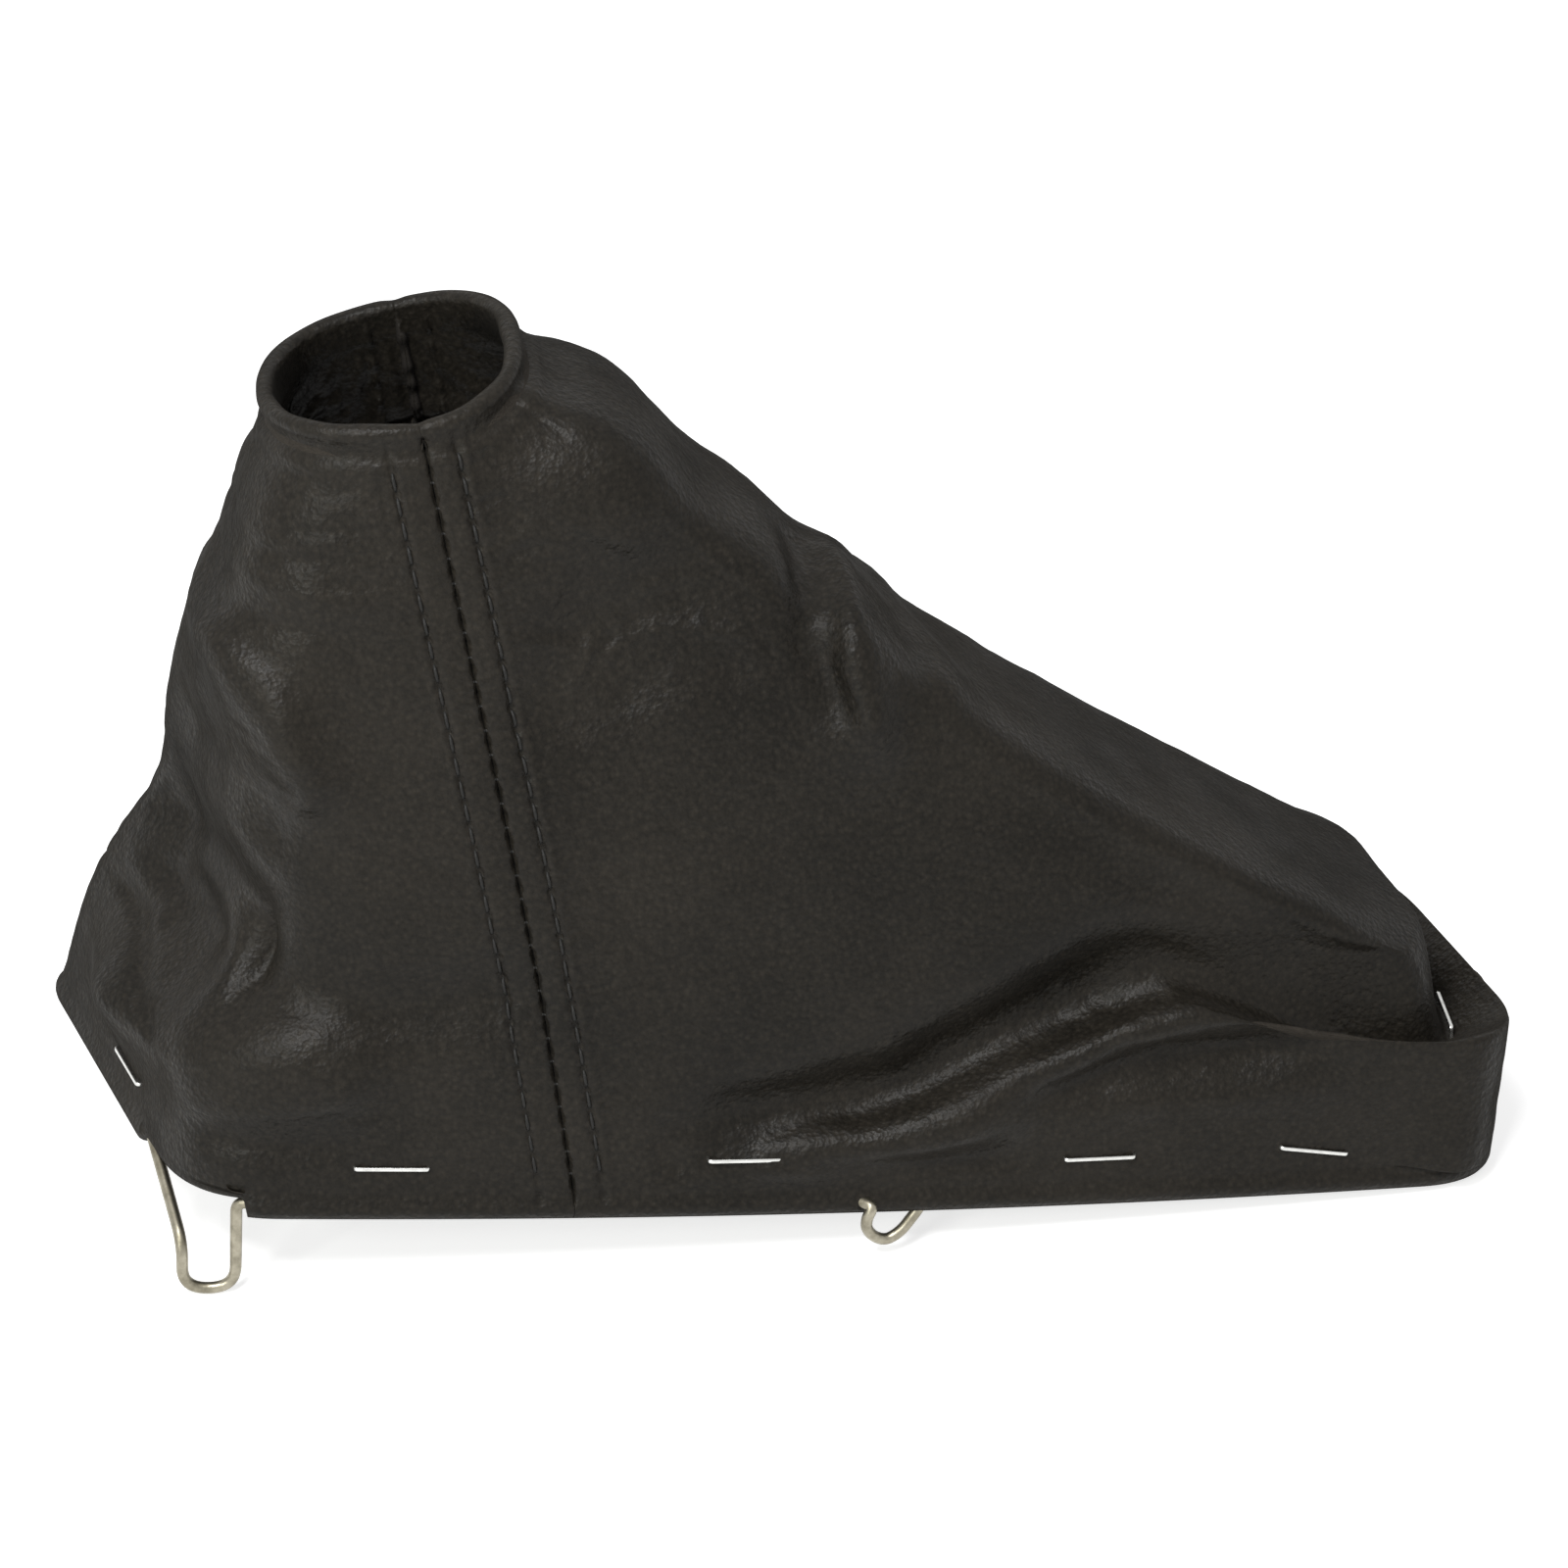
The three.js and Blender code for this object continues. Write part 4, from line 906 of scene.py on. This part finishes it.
def cover_lines(sheet, lines):
    """Adds up creases on the wall: each is a line of shares from 0 to 1, with height, width and lap."""
    total = np.zeros(sheet.seam.shape)
    places = sheet.wall
    for shares, height, width, lap in lines:
        line = smooth_line(shares, 8)
        arcs = panel_arc(sheet.panel, line[:, 0])
        points = wall(arcs, line[:, 1] * wall_length(arcs))
        margin = 3 * width * (1 + abs(lap))
        low, high = points.min(axis=0) - margin, points.max(axis=0) + margin
        near = np.all((places > low) & (places < high), axis=-1)
        close = places[near]
        best = np.full(len(close), np.inf)
        side = np.zeros(len(close))
        along = np.zeros(len(close))
        normals = sheet.normals[near]
        for k, (a, b) in enumerate(zip(points[:-1], points[1:])):
            run = b - a
            t = np.clip(((close - a) @ run) / (run @ run), 0, 1)
            away = close - a - t[:, None] * run
            distance = np.sum(away ** 2, axis=-1)
            nearer = distance < best
            best[nearer] = distance[nearer]
            side[nearer] = np.sum(away * np.cross(normals, run), axis=-1)[nearer]
            along[nearer] = (k + t[nearer]) / (len(points) - 1)
        lapped = width * (1 + lap * np.tanh(side / (0.5 * width * norm(points[1] - points[0]))))
        taper = smoothstep(along, 0, 0.18) * smoothstep(1 - along, 0, 0.18)
        total[near] += height * (0.15 + 0.85 * taper) * np.exp(-best / lapped ** 2)
    return total


def wrinkle_lines(panel, rng):
    """Short, slightly bent wrinkles of each patch, as lines of shares."""
    lines = []
    span = SPANS[panel][1] - SPANS[panel][0]
    sign = 1 if panel == "rear" else -1
    for middle, half, direction, spread, count, length, height, width in WRINKLES[panel]:
        for _ in range(count):
            share, rise = (np.array(middle) + np.array(half) * rng.normal(0, 0.5, 2)) / 100
            turn = math.radians(direction + rng.normal(0, spread / 2))
            run = length * rng.uniform(0.5, 1.4)
            arc = np.array([panel_arc(panel, share)])
            tall = wall_length(arc)[0]
            across = norm(taut(arc + 1, rise) - taut(arc - 1, rise))[0] / 2
            step = np.array([sign * math.cos(turn) / (across * span), math.sin(turn) / tall])
            bend = np.array([-step[1] * tall / (across * span), step[0] * across * span / tall])
            bend = bend * rng.normal(0, 0.16)
            t = np.linspace(-0.5, 0.5, 4)[:, None]
            line = np.array([share, rise]) + run * (t * step + (t ** 2) * bend)
            line = np.clip(line, 0.01, (0.99, 0.985))
            lines.append((line, height * rng.uniform(0.4, 1.3), width * rng.uniform(0.8, 1.5), 0))
    return lines


def noise(points, size, seed, waves=16):
    """Smooth noise between about -1 and 1, with bumps of a size in millimetres."""
    rng = np.random.default_rng(seed)
    directions = unit(rng.normal(size=(waves, 3)))
    pace = 2 * math.pi / size * rng.uniform(0.6, 1.4, waves)
    phase = rng.uniform(0, 2 * math.pi, waves)
    total = np.zeros(points.shape[:-1])
    for direction, k, start in zip(directions, pace, phase):
        total += np.sin((points @ direction) * k + start)
    return total / math.sqrt(waves)


# Stitches
STITCH_PITCH = 4.0
STITCH_LENGTH = 3.1
STITCH_WIDTH = 0.6
STITCH_PROUD = 0.55
STITCH_DIP = 1.9
FIRST_STITCH = 1
TOP_STITCH_GAP = 1.6
THREAD_REACH = 0.65
THREAD_RADIUS = 0.28
STITCH_SIDES = 8
THREAD_SIDES = 6
ROW_OFFSET = {"front": 5.8, "rear": 4.9}
SEAM_PITCH = 4.2
PINCHED_ROLL = 0.62
GROOVE_DEPTH = 0.1
GROOVE_OPENED = 0.35
GROOVE_WIDTH = 0.7
HOLLOW_DEPTH = 0.3
HOLLOW_WIDTH = 2.6
ROW_DEPTH = 0.4
ROW_WIDTH = 0.75
HOLE_DEPTH = 0.7
HOLE_WIDTH = 0.7
PLY_RISE = 0.35


def seam_relief(sheet):
    """Leather turned in at the seams and pinched by their stitches, and drawn in along the topstitching."""
    d = sheet.seam
    edge = np.clip(SEAM_ROLL - d, 0, SEAM_ROLL)
    phase = sheet.rise / SEAM_PITCH
    opened = 1 - smoothstep(np.abs((phase % 1) - 0.5), 0.14, 0.36)
    share = PINCHED_ROLL + (1 - PINCHED_ROLL) * opened
    roll = share * (SEAM_ROLL - np.sqrt(np.maximum(SEAM_ROLL ** 2 - edge ** 2, 0)))
    groove = GROOVE_DEPTH + GROOVE_OPENED * opened
    stitch = (sheet.rise / STITCH_PITCH) % 1
    hole = bell(np.minimum(stitch, 1 - stitch) * STITCH_PITCH, HOLE_WIDTH)
    row = bell(d - ROW_OFFSET[sheet.panel], ROW_WIDTH) * (ROW_DEPTH + HOLE_DEPTH * hole)
    ply = PLY_RISE * smoothstep(d, ALLOWANCE + 1.6, ALLOWANCE + 0.2)
    return ply - roll - groove * bell(d, GROOVE_WIDTH) - HOLLOW_DEPTH * bell(d, HOLLOW_WIDTH) - row


def staple_relief(sheet):
    """Dimples at the legs of the staples and the leather drawn in under their crowns."""
    total = np.zeros(sheet.seam.shape)
    start, end = SPANS[sheet.panel]
    for arc, height in STAPLES.values():
        if not start < arc < end:
            continue
        seat, side, normal = staple_frame(arc, height)
        away = sheet.wall - seat
        along = away @ side
        across = away @ np.cross(side, normal)
        off = away @ normal
        close = bell(off, 4)
        half = STAPLE_CROWN / 2
        legs = np.exp(-((np.abs(along) - half) ** 2 + across ** 2) / 1.5 ** 2)
        crown = bell(across, 1.1) * smoothstep(half + 1 - np.abs(along), 0, 2)
        pull = np.exp(-(across / 4.5) ** 2 - (along / (half + 3)) ** 2)
        total -= close * (LEG_DIMPLE * legs + CROWN_DIMPLE * crown + STAPLE_PULL * pull)
    return total


def dog_ear(sheet):
    """Fullness of the leather folded round the near rear corner, with its lower edge hanging free."""
    corner = near_arc_at(BASE_LENGTH / 2 - DOG_EAR_INSET)
    near = bell(sheet.arcs - corner, DOG_EAR_SPREAD)[None, :]
    up0 = sheet.up0
    return DOG_EAR_HEIGHT * near * smoothstep(up0, 0.4, 2.2) * (1 - 0.75 * smoothstep(up0, 5, LIP_HEIGHT))


def lip_fold(sheet):
    """Where the leather is folded tight between the crest of the rear lip and the foot of the nose."""
    up0 = sheet.up0
    share = smoothstep(lip_share(sheet.arcs), 0.05, 0.6)
    return share * smoothstep(up0, 14, LIP_HEIGHT - 3) * (1 - smoothstep(up0, VALLEY_UP + 4, NOSE_UP))


def leather_relief(sheet):
    rng = np.random.default_rng(7 if sheet.panel == "rear" else 11)
    drawn = [(np.array(line) / 100, *rest) for line, *rest in CREASES[sheet.panel]]
    creases = cover_lines(sheet, drawn) + cover_lines(sheet, wrinkle_lines(sheet.panel, rng))
    lumps = sum(height * noise(sheet.wall, size, seed) for height, size, seed in LUMPS)
    from_top = sheet.length - sheet.up0
    fade = smoothstep(sheet.up0, 0, 3) * smoothstep(from_top, 0, 4)
    calm = 0.25 + 0.75 * smoothstep(sheet.seam, 1.0, 7.0)
    rings = sum(height * bell(from_top - middle, width) for height, middle, width in RIM_RINGS)
    own = (creases + lumps) * fade * calm * (1 - LIP_CALM * lip_fold(sheet))
    return own + seam_relief(sheet) + staple_relief(sheet) + dog_ear(sheet) + rings


def at_columns(grid, columns):
    """One point of each row of a grid, at a fraction of a column."""
    low = np.clip(columns.astype(int), 0, grid.shape[1] - 2)
    part = (columns - low).reshape((-1,) + (1,) * (grid.ndim - 2))
    rows = np.arange(len(grid))
    return grid[rows, low] * (1 - part) + grid[rows, low + 1] * part


def beside_seam(sheet, relief, distance, at_end):
    """Distance up, places and normals along a line beside one of the panel's seams."""
    indexes = np.arange(sheet.seam.shape[1])
    if at_end:
        columns = np.array([np.interp(-distance, -row, indexes) for row in sheet.from_end])
    else:
        columns = np.array([np.interp(distance, row, indexes) for row in sheet.from_start])
    surface = sheet.wall + sheet.normals * relief[..., None]
    return [at_columns(grid, columns) for grid in (sheet.rise, surface, sheet.normals)]


def at_heights(up, rise, row):
    """Points at some heights of a row of points, which lie at the heights in rise."""
    return np.stack([np.interp(up, rise, row[:, k]) for k in range(3)], axis=-1)


def joined(bars):
    """One set of points and faces of several bars."""
    offsets = np.cumsum([0] + [len(points) for points, _ in bars[:-1]])
    faces = [tuple(k + offset for k in face) for (_, own), offset in zip(bars, offsets) for face in own]
    return np.concatenate([points for points, _ in bars]), faces


def topstitches(sheet, relief, at_end):
    """Row of stitches that hold the leather turned in at a seam, each sunk in at its ends."""
    rise, places, normals = beside_seam(sheet, relief, ROW_OFFSET[sheet.panel], at_end)
    radius = STITCH_WIDTH / 2
    t = np.linspace(-1, 1, 9)
    count = int((rise[-1] - TOP_STITCH_GAP) / STITCH_PITCH)
    bars = []
    for k in range(FIRST_STITCH, count):
        up = (k + 0.5) * STITCH_PITCH + t * STITCH_LENGTH / 2
        at, out = (at_heights(up, rise, row) for row in (places, normals))
        level = radius * (STITCH_PROUD - STITCH_DIP * np.abs(t) ** 3)
        bars.append(round_bar(at + unit(out) * level[:, None], radius, STITCH_SIDES))
    return joined(bars)


def seam_threads(sheet, relief):
    """Thread that crosses the open seam at each of its stitches, down between the two rolls of leather."""
    bars = []
    for at_end in (False, True):
        rise, places, normals = beside_seam(sheet, relief, THREAD_REACH, at_end)
        edge_rise, edge, _ = beside_seam(sheet, relief, 0.05, at_end)
        for k in range(1, int((rise[-1] - TOP_STITCH_GAP) / SEAM_PITCH)):
            up = k * SEAM_PITCH
            side, out = (at_heights(up, rise, row) for row in (places, normals))
            middle = at_heights(up, edge_rise, edge)
            chain = np.array([side - out * 0.45, side * 0.4 + middle * 0.6 - out * 0.15, middle - out * 0.1])
            bars.append(round_bar(chain, THREAD_RADIUS, THREAD_SIDES))
    return joined(bars)


def flat_cut(sheet):
    """Width, length and area of the leather as it was cut, in metres, with what is turned in."""
    grain, _ = sheet.grain(np.zeros(sheet.seam.shape))
    across = lengths_along(grain.transpose(1, 0, 2))[-1]
    along = lengths_along(grain)[-1]
    corner = grain[:-1, :-1]
    area = norm(np.cross(grain[1:, :-1] - corner, grain[:-1, 1:] - corner)).sum()
    area += ALLOWANCE * (along[0] + along[-1])
    return (across.max() + 2 * ALLOWANCE) * MM, along.max() * MM, area * MM ** 2


def leather_panel(panel):
    """Leather of a panel and the objects of its stitches."""
    sheet = Sheet(panel)
    relief = leather_relief(sheet)
    obj = sheet_object(sheet, relief)
    width, length, area = flat_cut(sheet)
    threads = []
    for side, at_end in (("near", panel == "front"), ("far", panel == "rear")):
        points, faces = topstitches(sheet, relief, at_end)
        threads.append(mesh_object(f"topstitches_{panel}_{side}", place_in_frame(points), faces))
    points, faces = seam_threads(sheet, relief)
    threads.append(mesh_object(f"seam_stitches_{panel}", place_in_frame(points), faces))
    return obj, threads


def staple_bar(node_name, arc, height):
    """Staple of flat wire with rounded bends, where the CAD node is: crown, two legs and clinched tips."""
    seat, side, normal = (to_frame(v, 0.0) / MM for v in staple_frame(arc, height))
    seat = seat + SHIFT / MM
    side, normal = unit(side), unit(normal)
    vertices = np.array([tuple(v.co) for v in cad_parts[node_name].data.vertices]) / MM - seat
    top, bottom = (vertices @ normal).max(), (vertices @ normal).min()
    middle = ((vertices @ side).max() + (vertices @ side).min()) / 2
    half = (STAPLE_CROWN - STAPLE_THICKNESS) / 2
    top, bottom = top - STAPLE_THICKNESS / 2 - STAPLE_SUNK, bottom + STAPLE_THICKNESS / 2
    tip = half - STAPLE_CLINCH
    corners = [(-tip, bottom, 0), (-half, bottom, 0.8), (-half, top, 0.7),
               (half, top, 0.7), (half, bottom, 0.8), (tip, bottom, 0)]
    chain = np.array(rounded([(seat + side * (middle + x) + normal * z, r) for x, z, r in corners]))
    across = np.cross(side, normal)
    angles = np.linspace(0, 2 * math.pi, WIRE_SIDES, endpoint=False)
    flat = lambda v: np.sign(v) * np.abs(v) ** 0.6
    runs = unit(np.gradient(chain, axis=0))
    over = unit(np.cross(runs, across)) * STAPLE_THICKNESS / 2
    rings = [point + flat(math.cos(a)) * STAPLE_WIDTH / 2 * across + flat(math.sin(a)) * up
             for point, up in zip(chain, over) for a in angles]
    return mesh_object(f"flat_{node_name}", np.array(rings) * MM, tube_faces(len(chain), WIRE_SIDES))


def add_node(tree, kind, inputs=(), **settings):
    """New node with its settings, each of its inputs given a value or the output of another node."""
    node = tree.nodes.new(kind)
    for name, setting in settings.items():
        setattr(node, name, setting)
    for name, source in dict(inputs).items():
        if isinstance(source, bpy.types.NodeSocket):
            tree.links.new(source, node.inputs[name])
        else:
            node.inputs[name].default_value = source
    return node


class Shading:
    """Node material under construction: a Principled shader and the nodes that feed it."""

    def __init__(self, name, color, roughness, metallic=0.0, specular=0.5):
        self.material = bpy.data.materials.new(name)
        self.material.use_nodes = True
        self.tree = self.material.node_tree
        self.shader = self.tree.nodes["Principled BSDF"]
        self.shader.inputs["Base Color"].default_value = (*color, 1)
        self.shader.inputs["Roughness"].default_value = roughness
        self.shader.inputs["Metallic"].default_value = metallic
        self.shader.inputs["Specular IOR Level"].default_value = specular
        self.place = add_node(self.tree, "ShaderNodeTexCoord").outputs["Object"]

    def noise(self, size, detail=3.0, roughness=0.55, stretch=(1, 1, 1)):
        """Noise between 0 and 1 with patches of a size in millimetres."""
        mapping = add_node(self.tree, "ShaderNodeMapping", {"Vector": self.place, "Scale": stretch})
        inputs = {"Vector": mapping.outputs[0], "Scale": 1 / (size * MM), "Detail": detail,
                  "Roughness": roughness}
        return add_node(self.tree, "ShaderNodeTexNoise", inputs).outputs["Fac"]

    def cells(self, size, feature="F1"):
        """Rounded cells of a size in millimetres: distance from their middle."""
        inputs = {"Vector": self.place, "Scale": 1 / (size * MM)}
        if feature == "SMOOTH_F1":
            inputs["Smoothness"] = 0.6
        return add_node(self.tree, "ShaderNodeTexVoronoi", inputs, feature=feature).outputs["Distance"]

    def scaled(self, value, from_low, from_high, low, high):
        inputs = {"Value": value, "From Min": from_low, "From Max": from_high, "To Min": low, "To Max": high}
        return add_node(self.tree, "ShaderNodeMapRange", inputs).outputs["Result"]

    def sum(self, first, second):
        return add_node(self.tree, "ShaderNodeMath", {0: first, 1: second}, operation="ADD").outputs[0]

    def blended(self, share, low, high):
        """Colour between two, by a share from 0 to 1."""
        inputs = {"A": (*low, 1), "B": (*high, 1), "Factor": share}
        return add_node(self.tree, "ShaderNodeMix", inputs, data_type="RGBA").outputs["Result"]

    def feed(self, socket, value):
        self.tree.links.new(value, self.shader.inputs[socket])

    def bump(self, heights):
        """Bumps on each other: each height with its depth in millimetres."""
        under = {}
        for height, depth in heights:
            inputs = {"Distance": depth * MM, "Height": height, **under}
            under = {"Normal": add_node(self.tree, "ShaderNodeBump", inputs).outputs["Normal"]}
        self.feed("Normal", under["Normal"])


def grain_leather():
    """Satin black leather: fine pebbled grain, paler in each pebble's middle, with patches of paler tone and
    of more gloss.
    """
    shading = Shading("leather_grain", (0.0175, 0.0155, 0.0122), 0.42, specular=0.12)
    tone = shading.noise(38, detail=3)
    fine = shading.noise(0.9, detail=4)
    pores = shading.cells(0.62)
    pebbles = shading.cells(1.15, "SMOOTH_F1")
    broad = shading.sum(shading.scaled(tone, 0.35, 0.65, 0.0, 0.4),
                        shading.scaled(fine, 0.34, 0.66, 0.0, 0.45))
    share = shading.sum(broad, shading.scaled(pebbles, 0.05, 0.5, 0.3, -0.15))
    shading.feed("Base Color", shading.blended(share, (0.0076, 0.0067, 0.0053), (0.0236, 0.0202, 0.0158)))
    worn = shading.sum(shading.scaled(shading.noise(11, detail=5), 0.3, 0.7, 0.36, 0.5),
                       shading.scaled(pores, 0.1, 0.55, 0.05, -0.03))
    grazing = add_node(shading.tree, "ShaderNodeLayerWeight", {"Blend": 0.5})
    matt = shading.scaled(grazing.outputs["Facing"], 0.45, 0.8, 0.0, 0.5)
    shading.feed("Roughness", shading.sum(worn, matt))
    shading.bump([(shading.noise(5.5, detail=2), 0.1), (pebbles, 0.13), (pores, 0.07),
                  (shading.noise(0.35), 0.03)])
    return shading.material


def mottled(name, finish, patches, colors, bumps, tone=None, gloss=None):
    """Material whose colour and gloss follow one noise. Each bump has the size of a noise of its own, or None
    for the same one, and its depth."""
    shading = Shading(name, **finish)
    spots = shading.noise(**patches)
    share = shading.scaled(spots, *tone) if tone else spots
    shading.feed("Base Color", shading.blended(share, *colors))
    if gloss:
        shading.feed("Roughness", shading.scaled(spots, *gloss))
    shading.bump([(shading.noise(size) if size else spots, depth) for size, depth in bumps])
    return shading.material


grain_material = grain_leather()
# Rough inner side of the leather, grey-brown and fibrous, and its cut edge
flesh_material = mottled(
    "leather_flesh", {"color": (0.03, 0.026, 0.022), "roughness": 0.9, "specular": 0.1},
    {"size": 1.6, "detail": 6, "roughness": 0.7}, [(0.018, 0.016, 0.014), (0.05, 0.043, 0.035)],
    [(None, 0.3), (0.4, 0.08)])
edge_material = mottled(
    "leather_edge", {"color": (0.014, 0.013, 0.012), "roughness": 0.85, "specular": 0.1},
    {"size": 0.6, "detail": 4, "stretch": (1, 1, 3)}, [(0.009, 0.008, 0.0075), (0.024, 0.021, 0.018)],
    [(None, 0.12)])
# Grey steel wire with a dull warm skin, fine lines and darker patches
wire_material = mottled(
    "drawn_wire", {"color": (0.3, 0.275, 0.21), "roughness": 0.36, "metallic": 1.0},
    {"size": 4.5, "detail": 5, "roughness": 0.65}, [(0.16, 0.145, 0.105), (0.34, 0.315, 0.25)],
    [(0.5, 0.03), (None, 0.05)], tone=(0.32, 0.62, 0.0, 1.0), gloss=(0.3, 0.7, 0.5, 0.3))
# Galvanised staple wire: bright, with faint scratches and dull spots
staple_material = mottled(
    "bright_staple", {"color": (0.62, 0.62, 0.6), "roughness": 0.3, "metallic": 1.0},
    {"size": 1.3, "detail": 4}, [(0.42, 0.42, 0.4), (0.78, 0.78, 0.76)],
    [(0.25, 0.012)], gloss=(0.3, 0.7, 0.4, 0.22))
# Twisted black thread with a slight shine
thread_material = mottled(
    "sewing_thread", {"color": (0.012, 0.0115, 0.011), "roughness": 0.5, "specular": 0.2},
    {"size": 0.32, "detail": 2}, [(0.004, 0.0039, 0.0038), (0.024, 0.023, 0.0215)],
    [(None, 0.1)])

wire_points, wire_faces = round_bar(wire_chain(), WIRE_DIAMETER / 2, WIRE_SIDES)
wire_object = mesh_object("bent_wire", place_in_frame(wire_points), wire_faces)
wire_object.data.materials.append(wire_material)
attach(wire_object, "root")
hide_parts("wire_frame")

for panel_name in ("front", "rear"):
    panel_object, thread_objects = leather_panel(panel_name)
    for slot_material in (grain_material, flesh_material, edge_material):
        panel_object.data.materials.append(slot_material)
    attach(panel_object, "root")
    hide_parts(f"{panel_name}_panel")
    for thread_object in thread_objects:
        thread_object.data.materials.append(thread_material)
        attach(thread_object, "root")

for staple_name, (staple_arc, staple_up) in STAPLES.items():
    staple_object = staple_bar(staple_name, staple_arc, staple_up)
    staple_object.data.materials.append(staple_material)
    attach(staple_object, "root")
    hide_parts(staple_name)

# Floor, light and camera
FLOOR_SIZE = 6.0
FLOOR_COLOR = (0.8, 0.8, 0.8, 1)
FLOOR_GLOW = 0.72
WHITE = (1, 1, 1, 1)
WORLD_LIGHT = 0.28
LAMPS = [
    ("key", (-0.25, -0.42, 0.8), 0.28, 7, (1, 1, 1)),
    ("side", (-0.66, -0.68, 0.5), 0.35, 3.5, (0.98, 1.0, 0.94)),
]
LAMP_TARGET = (0, 0, 0.05)


def empty_tree(owner):
    owner.use_nodes = True
    owner.node_tree.nodes.clear()
    return owner.node_tree


def where_seen(tree, output, plain, seen):
    """Gives the rays by which the camera sees something, also in metal or through glass, their own shader."""
    rays = add_node(tree, "ShaderNodeLightPath").outputs
    share = rays["Is Camera Ray"]
    for ray in ("Is Glossy Ray", "Is Transmission Ray"):
        share = add_node(tree, "ShaderNodeMath", {0: share, 1: rays[ray]}, operation="MAXIMUM").outputs[0]
    mixer = add_node(tree, "ShaderNodeMixShader", {0: share, 1: plain.outputs[0], 2: seen.outputs[0]})
    add_node(tree, output, {"Surface": mixer.outputs[0]})


def make_floor():
    half = FLOOR_SIZE / 2
    floor = mesh_object("floor", [(-half, -half, 0), (half, -half, 0), (half, half, 0), (-half, half, 0)],
                        [(0, 1, 2, 3)])
    material = bpy.data.materials.new("floor_white")
    tree = empty_tree(material)
    diffuse = add_node(tree, "ShaderNodeBsdfDiffuse", {"Color": FLOOR_COLOR})
    glow = add_node(tree, "ShaderNodeEmission", {"Color": WHITE, "Strength": FLOOR_GLOW})
    glowing = add_node(tree, "ShaderNodeAddShader", {0: diffuse.outputs[0], 1: glow.outputs[0]})
    where_seen(tree, "ShaderNodeOutputMaterial", diffuse, glowing)
    floor.data.materials.append(material)


def make_world():
    world = bpy.data.worlds.new("studio")
    bpy.context.scene.world = world
    tree = empty_tree(world)
    plain, white = (add_node(tree, "ShaderNodeBackground", {"Color": WHITE, "Strength": strength})
                    for strength in (WORLD_LIGHT, 1.0))
    where_seen(tree, "ShaderNodeOutputWorld", plain, white)


def area_lamp(name, location, size, power, color):
    data = bpy.data.lights.new(name, "AREA")
    data.shape = "RECTANGLE"
    data.size = data.size_y = size
    data.energy = power
    data.color = color
    aim_from(bpy.data.objects.new(name, data), Vector(location), Vector(LAMP_TARGET) - Vector(location))


def aim_from(obj, location, direction):
    """Puts a lamp or a camera at a place, turned along a direction."""
    obj.location = location
    obj.rotation_mode = "QUATERNION"
    obj.rotation_quaternion = direction.to_track_quat("-Z", "Y")
    bpy.context.scene.collection.objects.link(obj)


# Camera, in degrees from the middle of the near side and over the floor
CAMERA_AZIMUTH = -8.5
CAMERA_ELEVATION = 29.5
CAMERA_TARGET = (0.0018, 0.0, 0.0689)
CAMERA_DISTANCE = 0.7
CAMERA_LENS = 94.97


def make_camera():
    azimuth = math.radians(CAMERA_AZIMUTH)
    elevation = math.radians(CAMERA_ELEVATION)
    back = Vector((math.sin(azimuth) * math.cos(elevation), -math.cos(azimuth) * math.cos(elevation),
                   math.sin(elevation)))
    data = bpy.data.cameras.new("camera")
    data.lens = CAMERA_LENS
    data.clip_start = 0.01
    data.clip_end = 20
    camera = bpy.data.objects.new("camera", data)
    aim_from(camera, Vector(CAMERA_TARGET) + back * CAMERA_DISTANCE, -back)
    bpy.context.scene.camera = camera


make_floor()
make_world()
for lamp in LAMPS:
    area_lamp(*lamp)
make_camera()
bpy.context.scene.view_settings.view_transform = "Standard"
